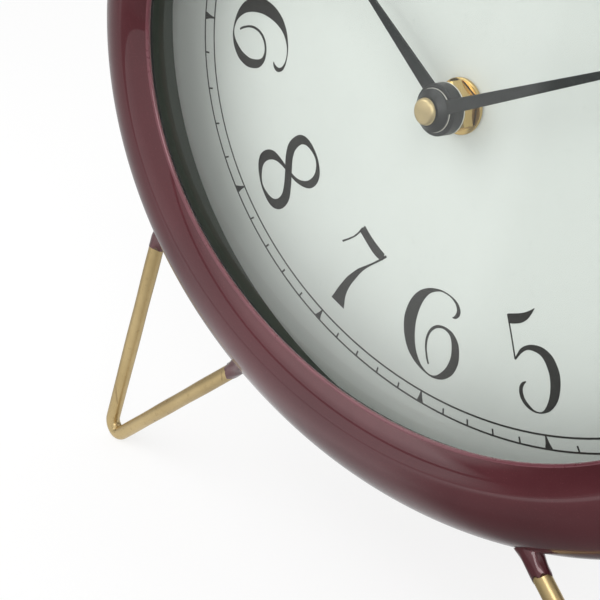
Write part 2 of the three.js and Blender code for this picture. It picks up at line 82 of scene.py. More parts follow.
caseLow, caseHigh = extent("case_shell")
dialLow, dialHigh = extent("dial_plate")
trayLow, trayHigh = extent("movement_tray")
cellLow, cellHigh = extent("battery_cell")
knobLow, knobHigh = extent("setting_knob")
knobX, knobZ = (knobLow.x + knobHigh.x) / 2, (knobLow.z + knobHigh.z) / 2
knobRadius = (knobHigh.x - knobLow.x) / 2
ovalStretch = caseHigh.x - caseHigh.z      # every oval is this much longer to each side


# Node helpers, most of which add one node and give back its output
colour, number = "NodeSocketColor", "NodeSocketFloat"
white = (1, 1, 1, 1)
grey = (0.5, 0.5, 0.5, 1)


def opaque(rgb):
    return (*rgb, 1)


def clearTree(owner):
    owner.use_nodes = True
    owner.node_tree.nodes.clear()
    return owner.node_tree


def link(tree, source, target):
    tree.links.new(source, target)


def feed(tree, source, target):
    # a socket takes another node's output or a plain number
    if hasattr(source, "is_output"):
        link(tree, source, target)
    else:
        target.default_value = source


def addNode(tree, kind, **settings):
    node = tree.nodes.new(kind)
    for name, value in settings.items():
        setattr(node, name, value)
    return node


def setInputs(node, values):
    for label, value in values.items():
        node.inputs[label].default_value = value


def mathIn(tree, operation, first, second=None):
    step = addNode(tree, "ShaderNodeMath", operation=operation)
    link(tree, first, step.inputs[0])
    if second is not None:
        feed(tree, second, step.inputs[1])
    return step.outputs["Value"]


def vectorIn(tree, operation, vector, fixed=None):
    step = addNode(tree, "ShaderNodeVectorMath", operation=operation)
    link(tree, vector, step.inputs[0])
    if fixed is not None:
        step.inputs[1].default_value = fixed
    return step.outputs


def rangeIn(tree, value, fromLow, fromHigh, toLow=0.0, toHigh=1.0):
    span = addNode(tree, "ShaderNodeMapRange")
    limits = {"From Min": fromLow, "From Max": fromHigh, "To Min": toLow, "To Max": toHigh}
    for label, limit in limits.items():
        feed(tree, limit, span.inputs[label])
    link(tree, value, span.inputs["Value"])
    return span.outputs["Result"]


def noiseIn(tree, scale, detail, roughness=0.55, place=None):
    place = place or addNode(tree, "ShaderNodeTexCoord").outputs["Object"]
    noise = addNode(tree, "ShaderNodeTexNoise")
    setInputs(noise, {"Detail": detail, "Roughness": roughness})
    link(tree, place, noise.inputs["Vector"])
    link(tree, scale, noise.inputs["Scale"])
    return noise.outputs["Fac"]


def mixIn(tree, factor, first, second):
    mix = addNode(tree, "ShaderNodeMix", data_type="RGBA")
    link(tree, factor, mix.inputs["Factor"])
    link(tree, first, mix.inputs["A"])
    link(tree, second, mix.inputs["B"])
    return mix.outputs["Result"]


def mixShaders(tree, factor, first, second):
    mix = addNode(tree, "ShaderNodeMixShader")
    link(tree, factor, mix.inputs["Fac"])
    link(tree, first, mix.inputs[1])
    link(tree, second, mix.inputs[2])
    return mix.outputs["Shader"]


# Shared effects, each a node group that is placed in the materials with their own values
def startGroup(name, inputs, outputs):
    tree = bpy.data.node_groups.new(name, "ShaderNodeTree")
    for label, kind, value in inputs:
        socket = tree.interface.new_socket(name=label, in_out="INPUT", socket_type=kind)
        socket.default_value = value
    for label, kind in outputs:
        tree.interface.new_socket(name=label, in_out="OUTPUT", socket_type=kind)
    return tree, addNode(tree, "NodeGroupInput").outputs, addNode(tree, "NodeGroupOutput").inputs


def startOverlay(name, tint, tintColour, scale):
    # a group that lays one tint over a base colour
    return startGroup(name, [("Base", colour, grey), (tint, colour, tintColour), ("Amount", number, 0.5),
                             ("Scale", number, scale)], [("Color", colour)])


def endOverlay(tree, given, made, mask, tint):
    mask = mathIn(tree, "MULTIPLY", mask, given["Amount"])
    link(tree, mixIn(tree, mask, given["Base"], given[tint]), made["Color"])
    return tree


effectValues = dict(
    mottle=dict(driftDetail=3, driftEdge=(0.35, 0.65), speckDetail=2, speckEdge=(0.62, 0.72)),
    grain=dict(detail=4, edge=(0.3, 0.7)),
    edgeWear=dict(worn=(0.8, 0.8, 0.8), scale=900, sharp=(0.52, 0.6), detail=3, broken=(0.4, 0.6)),
    dust=dict(dust=(0.6, 0.58, 0.55), scale=300, upward=(0.2, 1.0), detail=5, patchy=(0.45, 0.7)),
    scratches=dict(scratch=(0.3, 0.3, 0.3), scale=900, slant=(0.5, 0.35, 0.2), stretch=(1, 1, 0.07),
                   detail=1, roughness=0.5, sparse=(0.70, 0.76)),
    turning=dict(pitch=40000),
)


def buildMottle(values):
    # slow drift between two tints, with fine specks of a third
    tree, given, made = startGroup("mottle", [
        ("Base", colour, grey), ("Drift", colour, grey), ("Speck", colour, grey),
        ("Drift Scale", number, 60), ("Speck Scale", number, 1500), ("Speck Amount", number, 0.3),
    ], [("Color", colour)])
    slow = noiseIn(tree, given["Drift Scale"], values["driftDetail"])
    tinted = mixIn(tree, rangeIn(tree, slow, *values["driftEdge"]), given["Base"], given["Drift"])
    fine = noiseIn(tree, given["Speck Scale"], values["speckDetail"])
    speck = mathIn(tree, "MULTIPLY", rangeIn(tree, fine, *values["speckEdge"]), given["Speck Amount"])
    link(tree, mixIn(tree, speck, tinted, given["Speck"]), made["Color"])
    return tree


def buildGrain(values):
    # fine unevenness: a roughness between two limits, and a height for bump
    tree, given, made = startGroup("grain", [
        ("Scale", number, 1200), ("Low", number, 0.3), ("High", number, 0.5),
    ], [("Roughness", number), ("Height", number)])
    fine = noiseIn(tree, given["Scale"], values["detail"])
    link(tree, rangeIn(tree, fine, *values["edge"], given["Low"], given["High"]), made["Roughness"])
    link(tree, fine, made["Height"])
    return tree


def buildEdgeWear(values):
    # colour rubbed through to another along the sharp edges
    tree, given, made = startOverlay("edgeWear", "Worn", opaque(values["worn"]), values["scale"])
    surface = addNode(tree, "ShaderNodeNewGeometry")
    edge = rangeIn(tree, surface.outputs["Pointiness"], *values["sharp"])
    broken = rangeIn(tree, noiseIn(tree, given["Scale"], values["detail"]), *values["broken"])
    return endOverlay(tree, given, made, mathIn(tree, "MULTIPLY", edge, broken), "Worn")


def buildDust(values):
    # pale dust that settles on what faces up
    tree, given, made = startOverlay("dust", "Dust", opaque(values["dust"]), values["scale"])
    surface = addNode(tree, "ShaderNodeNewGeometry")
    parts = addNode(tree, "ShaderNodeSeparateXYZ")
    link(tree, surface.outputs["Normal"], parts.inputs["Vector"])
    upward = rangeIn(tree, parts.outputs["Z"], *values["upward"])
    patchy = rangeIn(tree, noiseIn(tree, given["Scale"], values["detail"]), *values["patchy"])
    return endOverlay(tree, given, made, mathIn(tree, "MULTIPLY", upward, patchy), "Dust")


def buildScratches(values):
    # sparse fine scratches that all run much the same way
    tree, given, made = startOverlay("scratches", "Scratch", opaque(values["scratch"]), values["scale"])
    slant = addNode(tree, "ShaderNodeMapping")
    setInputs(slant, {"Rotation": values["slant"], "Scale": values["stretch"]})
    link(tree, addNode(tree, "ShaderNodeTexCoord").outputs["Object"], slant.inputs["Vector"])
    fine = noiseIn(tree, given["Scale"], values["detail"], values["roughness"], slant.outputs["Vector"])
    return endOverlay(tree, given, made, rangeIn(tree, fine, *values["sparse"]), "Scratch")


def buildTurning(values):
    # fine rings about the clock's axis, as a lathe leaves them
    tree, given, made = startGroup("turning", [
        ("Pitch", number, values["pitch"]), ("Amount", number, 0.5),
    ], [("Height", number)])
    place = addNode(tree, "ShaderNodeTexCoord").outputs["Object"]
    fromHub = vectorIn(tree, "SUBTRACT", place, hubJoint["pos_m"])["Vector"]
    aside = vectorIn(tree, "CROSS_PRODUCT", fromHub, backwards)["Vector"]
    radius = vectorIn(tree, "LENGTH", aside)["Value"]
    wave = mathIn(tree, "SINE", mathIn(tree, "MULTIPLY", radius, given["Pitch"]))
    link(tree, mathIn(tree, "MULTIPLY", wave, given["Amount"]), made["Height"])
    return tree


builders = dict(mottle=buildMottle, grain=buildGrain, edgeWear=buildEdgeWear, dust=buildDust,
                scratches=buildScratches, turning=buildTurning)
groups = {name: build(effectValues[name]) for name, build in builders.items()}
print("shared effects built:", ", ".join(groups))


def placeGroup(tree, name, values):
    # the group's input "Drift Scale" is written driftScale in the looks
    node = addNode(tree, "ShaderNodeGroup", node_tree=groups[name])
    for key, value in values.items():
        spaced = "".join(" " + letter if letter.isupper() else letter for letter in key)
        label = spaced[0].upper() + spaced[1:]
        node.inputs[label].default_value = opaque(value) if isinstance(value, tuple) else value
    return node


# Materials
def startMaterial(name):
    material = bpy.data.materials.new(name)
    tree = clearTree(material)
    output = addNode(tree, "ShaderNodeOutputMaterial")
    return material, tree, output, addNode(tree, "ShaderNodeBsdfPrincipled")


def addBump(tree, shader, height, strength, depth):
    bump = addNode(tree, "ShaderNodeBump")
    setInputs(bump, {"Strength": strength, "Distance": depth * mm})
    link(tree, height, bump.inputs["Height"])
    link(tree, bump.outputs["Normal"], shader.inputs["Normal"])


def finishMaterial(name, look):
    # mottled colour, worn edges, scratches and dust, with grain in the roughness and the bump
    material, tree, output, shader = startMaterial(name)
    link(tree, shader.outputs["BSDF"], output.inputs["Surface"])
    tint = placeGroup(tree, "mottle", look["mottle"]).outputs["Color"]
    for effect in ("edgeWear", "scratches", "dust"):
        if effect in look:
            layer = placeGroup(tree, effect, look[effect])
            link(tree, tint, layer.inputs["Base"])
            tint = layer.outputs["Color"]
    link(tree, tint, shader.inputs["Base Color"])
    grain = placeGroup(tree, "grain", look["grain"])
    link(tree, grain.outputs["Roughness"], shader.inputs["Roughness"])
    height = grain.outputs["Height"]
    if "turning" in look:
        turning = placeGroup(tree, "turning", look["turning"])
        height = mathIn(tree, "ADD", height, turning.outputs["Height"])
    addBump(tree, shader, height, look["bump"], look["bumpDepth"])
    setInputs(shader, {"Metallic": look["metallic"], "Coat Weight": look["coat"],
                       "Coat Roughness": look["coatRough"], "IOR": look["ior"]})
    return material


usualLook = dict(bumpDepth=0.02, metallic=0, coat=0, coatRough=0.05, ior=1.5)
looks = {
    "case_paint": dict(
        mottle=dict(base=(0.100, 0.0155, 0.022), drift=(0.086, 0.0132, 0.0188), speck=(0.22, 0.055, 0.07),
                    driftScale=40, speckScale=5200, speckAmount=0.4),
        grain=dict(scale=420, low=0.30, high=0.38), bump=0.3, bumpDepth=0.010,
        metallic=0.45, coat=1.0, coatRough=0.03),
    # a brighter copy of the case paint for the lip bead: painted highlight along the lip
    "lip_paint_highlight": dict(
        mottle=dict(base=(0.18, 0.050, 0.065), drift=(0.15, 0.038, 0.050), speck=(0.25, 0.08, 0.10),
                    driftScale=120),
        grain=dict(scale=900, low=0.26, high=0.36), bump=0.3, metallic=0.3, coat=1.0),
    "leg_gold": dict(
        mottle=dict(base=(0.62, 0.475, 0.24), drift=(0.54, 0.405, 0.195), speck=(0.16, 0.09, 0.04),
                    driftScale=90, speckScale=800, speckAmount=0.15),
        grain=dict(scale=1500, low=0.32, high=0.44), bump=0.4, metallic=0.85,
        scratches=dict(scratch=(0.22, 0.13, 0.06), amount=0.5)),
    "gasket_rubber": dict(
        mottle=dict(base=(0.012, 0.012, 0.012), drift=(0.018, 0.018, 0.017), speck=(0.05, 0.05, 0.05)),
        grain=dict(scale=2200, low=0.55, high=0.7), bump=0.4),
    "lining": dict(
        mottle=dict(base=(0.068, 0.078, 0.063), drift=(0.055, 0.064, 0.052), speck=(0.09, 0.10, 0.08),
                    driftScale=35),
        grain=dict(scale=1800, low=0.45, high=0.6), bump=0.2, ior=1.3),
    "dial_face": dict(
        mottle=dict(base=(0.775, 0.795, 0.768), drift=(0.745, 0.765, 0.74), speck=(0.42, 0.44, 0.41),
                    driftScale=25, speckScale=900, speckAmount=0.10),
        grain=dict(scale=2600, low=0.5, high=0.62), bump=0.12),
    "dial_ink": dict(
        mottle=dict(base=(0.016, 0.015, 0.013), drift=(0.022, 0.020, 0.018), speck=(0.10, 0.10, 0.09),
                    driftScale=200),
        grain=dict(scale=3000, low=0.45, high=0.6), bump=0.2),
    "hand_black": dict(
        mottle=dict(base=(0.011, 0.013, 0.013), drift=(0.016, 0.018, 0.018), speck=(0.12, 0.12, 0.12)),
        grain=dict(scale=2400, low=0.32, high=0.45), bump=0.15),
    # a darker copy of the hands' black for the bosses: painted shade
    "boss_black_shaded": dict(
        mottle=dict(base=(0.009, 0.010, 0.010), drift=(0.014, 0.015, 0.015), speck=(0.06, 0.06, 0.06)),
        grain=dict(scale=2400, low=0.36, high=0.48), bump=0.15),
    "hub_brass": dict(
        mottle=dict(base=(0.66, 0.47, 0.19), drift=(0.58, 0.40, 0.15), speck=(0.30, 0.20, 0.08)),
        grain=dict(scale=2600, low=0.10, high=0.18), turning=dict(amount=0.25), bump=0.12, metallic=1.0),
    "cap_brass": dict(
        mottle=dict(base=(0.72, 0.57, 0.32), drift=(0.64, 0.50, 0.28), speck=(0.30, 0.22, 0.12),
                    driftScale=600),
        grain=dict(scale=2600, low=0.38, high=0.5), turning=dict(amount=0.3), bump=0.4, metallic=0.9),
    "cover_black": dict(
        mottle=dict(base=(0.026, 0.026, 0.026), drift=(0.034, 0.033, 0.032), speck=(0.09, 0.09, 0.088),
                    speckScale=2500),
        grain=dict(scale=2600, low=0.5, high=0.68), bump=0.9, bumpDepth=0.06,
        edgeWear=dict(worn=(0.16, 0.16, 0.16), amount=0.4), dust=dict(amount=0.25)),
    "zinc_steel": dict(
        mottle=dict(base=(0.52, 0.53, 0.52), drift=(0.45, 0.46, 0.44), speck=(0.30, 0.29, 0.26)),
        grain=dict(scale=1600, low=0.25, high=0.42), bump=0.2, metallic=1.0,
        edgeWear=dict(worn=(0.7, 0.7, 0.68), amount=0.5),
        scratches=dict(scratch=(0.3, 0.3, 0.29), amount=0.5)),
    "housing_plastic": dict(
        mottle=dict(base=(0.022, 0.022, 0.023), drift=(0.028, 0.028, 0.028), speck=(0.06, 0.06, 0.06),
                    speckScale=2600),
        grain=dict(scale=2400, low=0.42, high=0.56), bump=0.6, bumpDepth=0.03,
        edgeWear=dict(worn=(0.10, 0.10, 0.10), amount=0.5), dust=dict(amount=0.2)),
    "wheel_nylon": dict(
        mottle=dict(base=(0.74, 0.72, 0.66), drift=(0.68, 0.66, 0.60), speck=(0.5, 0.48, 0.43)),
        grain=dict(scale=1800, low=0.4, high=0.55), bump=0.2),
    "coil_copper": dict(
        mottle=dict(base=(0.55, 0.24, 0.11), drift=(0.48, 0.20, 0.09), speck=(0.25, 0.10, 0.05)),
        grain=dict(scale=3000, low=0.3, high=0.42), bump=0.8, bumpDepth=0.05, metallic=0.9),
    "board_green": dict(
        mottle=dict(base=(0.05, 0.16, 0.08), drift=(0.04, 0.13, 0.065), speck=(0.3, 0.28, 0.16)),
        grain=dict(scale=1500, low=0.35, high=0.5), bump=0.3),
    "cell_jacket": dict(
        mottle=dict(base=(0.045, 0.13, 0.22), drift=(0.04, 0.11, 0.19), speck=(0.15, 0.22, 0.3)),
        grain=dict(scale=1500, low=0.25, high=0.36), bump=0.1, metallic=0.3, coat=0.4),
}
glassLook = dict(tint=(0.965, 0.985, 0.972), shadow=(0.95, 0.965, 0.955), rough=0.0, ior=1.04,
                 coat=1.0, coatIor=1.4, wave=0.1, waveScale=30, waveDepth=0.01)


def buildGlass(look):
    # clear pane that lets the lamps through, so that the dial behind it stays lit;
    # it hardly bends the view, and its coat carries the reflections
    material, tree, output, shader = startMaterial("lens")
    setInputs(shader, {"Base Color": opaque(look["tint"]), "Roughness": look["rough"], "IOR": look["ior"],
                       "Transmission Weight": 1, "Coat Weight": look["coat"],
                       "Coat Roughness": look["rough"], "Coat IOR": look["coatIor"]})
    through = addNode(tree, "ShaderNodeBsdfTransparent")
    setInputs(through, {"Color": opaque(look["shadow"])})
    path = addNode(tree, "ShaderNodeLightPath").outputs
    light = mathIn(tree, "MAXIMUM", path["Is Shadow Ray"], path["Is Diffuse Ray"])
    link(tree, mixShaders(tree, light, shader.outputs["BSDF"], through.outputs["BSDF"]),
         output.inputs["Surface"])
    grain = placeGroup(tree, "grain", dict(scale=look["waveScale"]))
    addBump(tree, shader, grain.outputs["Height"], look["wave"], look["waveDepth"])
    return material


materials = {name: finishMaterial(name, {**usualLook, **look}) for name, look in looks.items()}
materials["lens"] = buildGlass(glassLook)
print("materials built:", len(materials))


# Mesh making: points are (x, depth, z) in the clock's axes, in millimetres
def addPiece(name, shape, material, body="case", node=None, smoothAngle=35, place=toRow):
    # shape is (points, faces); the piece rides on a body, and stands for a node if one is given
    points, faces = shape
    mesh = bpy.data.meshes.new(name)
    mesh.from_pydata([place(*p) for p in points], [], faces)
    clean = bmesh.new()
    clean.from_mesh(mesh)
    bmesh.ops.remove_doubles(clean, verts=clean.verts, dist=mergeGap * mm)
    bmesh.ops.recalc_face_normals(clean, faces=clean.faces)
    clean.to_mesh(mesh)
    clean.free()
    mesh.shade_smooth()
    mesh.set_sharp_from_angle(angle=math.radians(smoothAngle))
    mesh.materials.append(materials[material])
    piece = bpy.data.objects.new(name, mesh)
    bpy.context.scene.collection.objects.link(piece)
    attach(piece, body)
    if node:
        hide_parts(node)


def loft(loops, wrap=True, ends=False):
    # points and faces of a skin over loops of equal length; wrap joins the last loop to the first
    count = len(loops[0])
    points = [p for loop in loops for p in loop]
    faces = []
    for i in range(len(loops) if wrap else len(loops) - 1):
        a, b = i * count, (i + 1) % len(loops) * count
        for k in range(count):
            n = (k + 1) % count
            faces.append((a + k, a + n, b + n, b + k))
    if ends:
        faces.append(tuple(range(count))[::-1])
        faces.append(tuple(range((len(loops) - 1) * count, len(loops) * count)))
    return points, faces


def rod(loops):
    # a skin over loops from one end to the other, both closed by a face
    return loft(loops, wrap=False, ends=True)


def joinParts(parts):
    points, faces = [], []
    for partPoints, partFaces in parts:
        start = len(points)
        points += partPoints
        faces += [tuple(start + i for i in face) for face in partFaces]
    return points, faces


def ovalLoop(halfHeight, depth, stretch=ovalStretch):
    wide = halfHeight + stretch
    return [(wide * math.sin(t), depth, halfHeight * math.cos(t)) for t in fullTurns(ovalSteps)]


def ovalBand(profile):
    return loft([ovalLoop(h, depth) for h, depth in profile])


def circleLoop(radius, depth, x=0, z=0):
    return [(x + radius * math.sin(t), depth, z + radius * math.cos(t)) for t in fullTurns(roundSteps)]


def turnedRing(profile, x=0, z=0):
    # a closed profile of (radius, depth) turned about an axis through (x, z)
    return loft([circleLoop(radius, depth, x, z) for radius, depth in profile])


def turnedSolid(profile):
    # a profile of (radius, depth) from a flat end to a flat end
    return rod([circleLoop(radius, depth) for radius, depth in profile])


def boxProfile(inner, outer, front, back):
    return [(inner, front), (outer, front), (outer, back), (inner, back)]


def arcProfile(middle, depth, radius, fromTurn, toTurn, steps):
    # turn 0 points to the front, 90 outward
    turns = [math.radians(fromTurn + (toTurn - fromTurn) * i / steps) for i in range(steps + 1)]
    return [(middle + radius * math.sin(t), depth - radius * math.cos(t)) for t in turns]


# Case shell: pressed sheet with a rolled rim, a beaded lip and a hemmed rear edge
caseShape = dict(rollRadius=10.1, wall=0.8, lipTurn=47.8, rollSteps=48, sideRings=(0.0, 0.3, 0.6, 0.9),
                 rearHem=0.6, hemSteps=8, lipBead=0.56, beadTurn=1.2, beadSteps=24)


def buildCase(shape):
    outer, wall, hem = shape["rollRadius"], shape["wall"], shape["rearHem"]
    inner = outer - wall
    middle, depth = caseHigh.z - outer, caseLow.y + outer
    lip = -shape["lipTurn"]
    pastBead = lip + shape["beadTurn"]
    profile = arcProfile(middle, depth, outer, pastBead, 90, shape["rollSteps"])
    profile += [(caseHigh.z, caseHigh.y * share) for share in shape["sideRings"]]
    profile += arcProfile(caseHigh.z - hem, caseHigh.y - hem, hem, 90, 180, shape["hemSteps"])
    profile += [(caseHigh.z - wall, caseHigh.y - hem), (caseHigh.z - wall, 0)]
    profile += arcProfile(middle, depth, inner, 90, pastBead, shape["rollSteps"])
    addPiece("case_skin", ovalBand(profile), "case_paint", node="case_shell", smoothAngle=50)
    lipReach, lipAt = inner + wall / 2, math.radians(lip)
    bead = arcProfile(middle + lipReach * math.sin(lipAt), depth - lipReach * math.cos(lipAt),
                      shape["lipBead"], 0, 360, shape["beadSteps"])[:-1]
    # the bead takes the brighter paint, a painted highlight along the lip
    addPiece("case_lip", ovalBand(bead), "lip_paint_highlight")


buildCase(caseShape)
print("case built")


# Gasket, spacer ring, a black band of painted shade, glass and dial
frontShape = dict(gasketWidth=3.0, gasketEdge=0.25, spacerWall=3.2, spacerFlare=0.5,
                  shadeBandStand=0.25, shadeBandWidth=1.7, sealGap=0.05, glassArris=0.3, dialHole=3.8, dialRings=6)


def buildFront(shape):
    low, high = extent("glass_gasket")
    inner, outer, edge = high.z - shape["gasketWidth"], high.z, shape["gasketEdge"]
    profile = [(inner, low.y + edge), (inner + edge, low.y), (outer, low.y),
               (outer, high.y), (inner + edge, high.y), (inner, high.y - edge)]
    addPiece("gasket_ring", ovalBand(profile), "gasket_rubber", node="glass_gasket")

    low, high = extent("spacer_ring")
    inner = high.z - shape["spacerWall"]
    profile = [(inner, low.y), (high.z, low.y), (high.z, high.y), (inner, high.y),
               (inner, high.y - shape["spacerFlare"])]
    addPiece("lining_band", ovalBand(profile), "lining", node="spacer_ring")

    # a black rubber band on the spacer just behind the glass: painted shadow of the lip on the wall
    profile = boxProfile(inner - shape["shadeBandStand"], inner + shape["sealGap"],
                         low.y + shape["sealGap"], low.y + shape["shadeBandWidth"])
    addPiece("painted_shade_band", ovalBand(profile), "gasket_rubber")

    low, high = extent("glass_lens")
    arris = shape["glassArris"]
    profile = [(high.z - arris, low.y), (high.z, low.y + arris), (high.z, high.y - arris),
               (high.z - arris, high.y)]
    pane = rod([ovalLoop(h, depth) for h, depth in profile])
    addPiece("glass_pane", pane, "lens", node="glass_lens", smoothAngle=20)

    loops = []
    hole = shape["dialHole"]
    shares = [i / shape["dialRings"] for i in range(shape["dialRings"] + 1)]
    for depth, run in ((dialLow.y, shares), (dialHigh.y, shares[::-1])):
        for share in run:
            loops.append(ovalLoop(hole + (dialHigh.z - hole) * share, depth, ovalStretch * share))
    addPiece("dial_sheet", loft(loops), "dial_face", node="dial_plate")


buildFront(frontShape)
print("gasket, glass, lining and dial built")


# Print on the dial
printShape = dict(
    outerLine=(76.06, 60.0), innerLine=(72.85, 57.48), lineWidth=0.36, tickLength=1.3, tickWidth=0.36,
    markWidth=1.8, markNeck=0.45, markNeckAt=0.5, markTip=0.12, inkFront=-0.05, inkBack=-0.004,
    numeralOval=(57.5, 44.4), numeralShift=0.45, inwardHours=range(4, 9), strokeSteps=7, thinnest=0.05,
    pairScale=0.86, pairShifts={"10": (-5.2, 3.3), "11": (-3.0, 2.6), "12": (-4.9, 3.2)},
)
zeroShape = dict(steps=20, halfWide=4.3, halfHigh=8.9, thin=0.4, swell=2.3, power=1.6)

# Numeral strokes: each point is (x, z, width) in millimetres, about the numeral's middle
numeralStrokes = {
    "1": [[(1.0, 9.2, 0.9), (0.8, 5.0, 1.5), (0.5, 0.0, 2.0), (0.4, -4.0, 2.2), (0.5, -7.0, 2.8),
           (0.8, -9.2, 3.7)],
          [(1.0, 9.2, 0.6), (-0.5, 8.1, 0.45), (-2.1, 7.1, 0.4), (-3.5, 6.5, 0.3)]],
    "2": [[(-4.2, 4.1, 0.25), (-4.6, 5.2, 0.85), (-4.1, 6.9, 0.9), (-2.6, 8.4, 0.6), (-0.2, 9.05, 0.5),
           (2.3, 8.2, 1.5), (3.9, 6.1, 2.1), (4.1, 3.8, 2.2), (3.0, 1.2, 1.7), (0.7, -1.8, 1.0),
           (-1.9, -4.6, 0.6), (-4.2, -7.0, 0.5), (-5.5, -8.7, 0.4)],
          [(-5.5, -8.7, 0.4), (-3.6, -7.9, 1.2), (-1.2, -7.6, 1.9), (1.4, -8.2, 2.0), (3.7, -8.5, 1.4),
           (5.2, -7.2, 0.6), (5.7, -5.8, 0.25)]],
    "3": [[(-3.4, 4.7, 0.25), (-4.1, 5.8, 0.8), (-3.5, 7.5, 0.8), (-1.7, 8.8, 0.5), (0.6, 9.05, 0.7),
           (2.8, 8.0, 1.6), (3.6, 6.0, 2.0), (2.9, 3.8, 1.5), (1.3, 2.3, 0.7), (-0.9, 1.6, 0.3)],
          [(-0.9, 1.6, 0.3), (1.5, 1.6, 0.8), (3.8, 0.3, 1.8), (5.0, -2.2, 2.3), (4.9, -4.2, 2.3),
           (3.7, -6.9, 1.9), (2.0, -8.5, 1.1), (0.1, -9.2, 0.4), (-1.6, -8.9, 0.4), (-2.9, -7.9, 0.7),
           (-3.6, -6.6, 0.85), (-3.7, -5.4, 0.85), (-3.2, -4.3, 0.7), (-2.2, -3.7, 0.25)]],
    "4": [[(2.6, 9.3, 0.7), (2.4, 5.0, 1.7), (2.3, 0.0, 2.1), (2.3, -4.5, 2.3), (2.4, -7.2, 2.7),
           (2.7, -9.3, 3.6)],
          [(2.7, 9.2, 0.6), (-1.0, 4.4, 0.45), (-3.8, -0.1, 0.4), (-5.6, -3.7, 0.4)],
          [(-5.8, -3.8, 0.5), (-2.2, -4.0, 1.1), (2.0, -3.9, 1.2), (5.6, -3.3, 0.4)]],
    "5": [[(-2.05, 8.4, 1.8), (-0.8, 8.2, 1.85), (0.6, 8.1, 1.75), (2.0, 8.3, 1.35), (3.2, 8.75, 0.75),
           (4.4, 9.35, 0.1)],
          [(-2.05, 9.2, 0.3), (-2.4, 5.5, 0.3), (-2.95, 0.95, 0.32)],
          [(-2.95, 0.9, 0.3), (-2.0, 1.65, 0.5), (-0.9, 2.35, 0.75), (0.5, 2.68, 0.85), (2.1, 2.4, 1.2),
           (3.65, 1.55, 1.6), (4.7, 0.1, 2.1), (5.12, -1.8, 2.3), (5.08, -3.2, 2.3), (4.6, -5.0, 2.15),
           (3.6, -6.95, 1.85), (2.05, -8.5, 1.2), (0.3, -9.25, 0.38), (-1.4, -8.95, 0.36),
           (-2.65, -7.9, 0.7), (-3.4, -6.65, 0.82), (-3.57, -5.5, 0.85), (-3.3, -4.4, 0.8),
           (-2.6, -3.65, 0.6), (-1.75, -3.35, 0.2)]],
    "6": [[(4.6, 4.92, 0.15), (5.25, 5.2, 0.6), (5.8, 6.0, 0.9), (5.82, 6.9, 0.85), (5.2, 7.9, 0.65),
           (3.9, 8.65, 0.36), (2.2, 8.98, 0.28), (0.4, 8.85, 0.42), (-1.9, 7.9, 1.05), (-3.75, 6.2, 2.0),
           (-5.05, 3.9, 2.7), (-5.75, 1.3, 3.05), (-5.85, -0.6, 3.1), (-5.5, -2.9, 2.85), (-4.6, -5.2, 2.3),
           (-3.2, -6.95, 1.5), (-1.5, -8.2, 0.7), (0.6, -8.9, 0.34), (2.4, -8.75, 0.6), (4.15, -7.75, 1.35),
           (5.7, -6.0, 1.9), (6.5, -3.9, 2.05), (6.6, -2.2, 1.95), (6.2, -0.2, 1.75), (5.3, 1.2, 1.15),
           (4.2, 1.85, 0.75), (2.8, 2.05, 0.55), (1.3, 1.65, 0.6), (0.1, 0.7, 0.6), (-0.65, -0.6, 0.55),
           (-0.98, -2.3, 0.52), (-0.8, -4.0, 0.45), (-0.2, -5.8, 0.45), (0.35, -6.8, 0.4)]],
    "7": [[(-3.35, 9.45, 2.0), (-1.0, 9.15, 1.95), (1.5, 9.0, 2.1), (3.2, 9.15, 2.0), (4.3, 9.6, 1.5)],
          [(-3.35, 9.6, 0.4), (-3.5, 8.0, 0.35), (-3.9, 6.4, 0.33), (-4.7, 4.6, 0.35), (-5.6, 2.9, 0.42)],
          [(4.7, 10.3, 0.5), (3.9, 8.0, 0.42), (3.1, 6.0, 0.4), (2.28, 4.0, 0.55), (1.58, 2.0, 1.0),
           (1.2, 0.0, 1.4), (0.88, -2.0, 1.75), (0.83, -4.0, 2.05), (0.98, -6.0, 2.65), (1.35, -7.6, 3.45),
           (1.6, -8.7, 4.1)]],
    "8": [[(-5.25, 6.6, 2.1), (-4.5, 4.2, 2.3), (-2.6, 2.4, 2.2), (0.0, 1.05, 2.1), (2.7, -0.4, 2.2),
           (4.9, -2.1, 2.4), (5.82, -4.4, 2.35), (5.3, -6.6, 2.0), (3.4, -8.1, 1.2), (0.5, -8.87, 0.55),
           (-2.6, -8.05, 1.2), (-4.4, -6.5, 2.0), (-4.85, -4.5, 2.2), (-4.35, -2.6, 1.95),
           (-3.1, -1.1, 1.3), (-1.4, 0.15, 0.85), (1.0, 1.75, 0.8), (2.5, 3.1, 0.9), (3.6, 4.9, 1.3),
           (4.05, 6.8, 1.7), (3.6, 8.7, 1.7), (2.3, 10.1, 1.3), (0.2, 10.82, 0.75), (-1.8, 10.6, 0.85),
           (-3.85, 9.6, 1.35), (-5.0, 8.2, 1.85)]],
}
numeralStrokes["9"] = [[(-x, -z, w) for x, z, w in stroke] for stroke in numeralStrokes["6"]]
numeralStrokes["0"] = [[
    (zeroShape["halfWide"] * math.sin(t), zeroShape["halfHigh"] * math.cos(t),
     zeroShape["thin"] + zeroShape["swell"] * abs(math.sin(t)) ** zeroShape["power"])
    for t in fullTurns(zeroShape["steps"])
]]
closedNumerals = ("0", "8")


def smoothRun(points, closed, steps):
    # points along a curve that passes through the given ones
    count = len(points)
    run = []
    for i in range(count if closed else count - 1):
        places = [i + k for k in (-1, 0, 1, 2)]
        if closed:
            places = [k % count for k in places]
        else:
            places = [min(max(k, 0), count - 1) for k in places]
        a, b, c, d = (Vector(points[k]) for k in places)
        for step in range(steps):
            t = step / steps
            run.append(0.5 * (2 * b + (c - a) * t + (2 * a - 5 * b + 4 * c - d) * t ** 2
                              + (3 * b - a - 3 * c + d) * t ** 3))
    return run if closed else [*run, Vector(points[-1])]


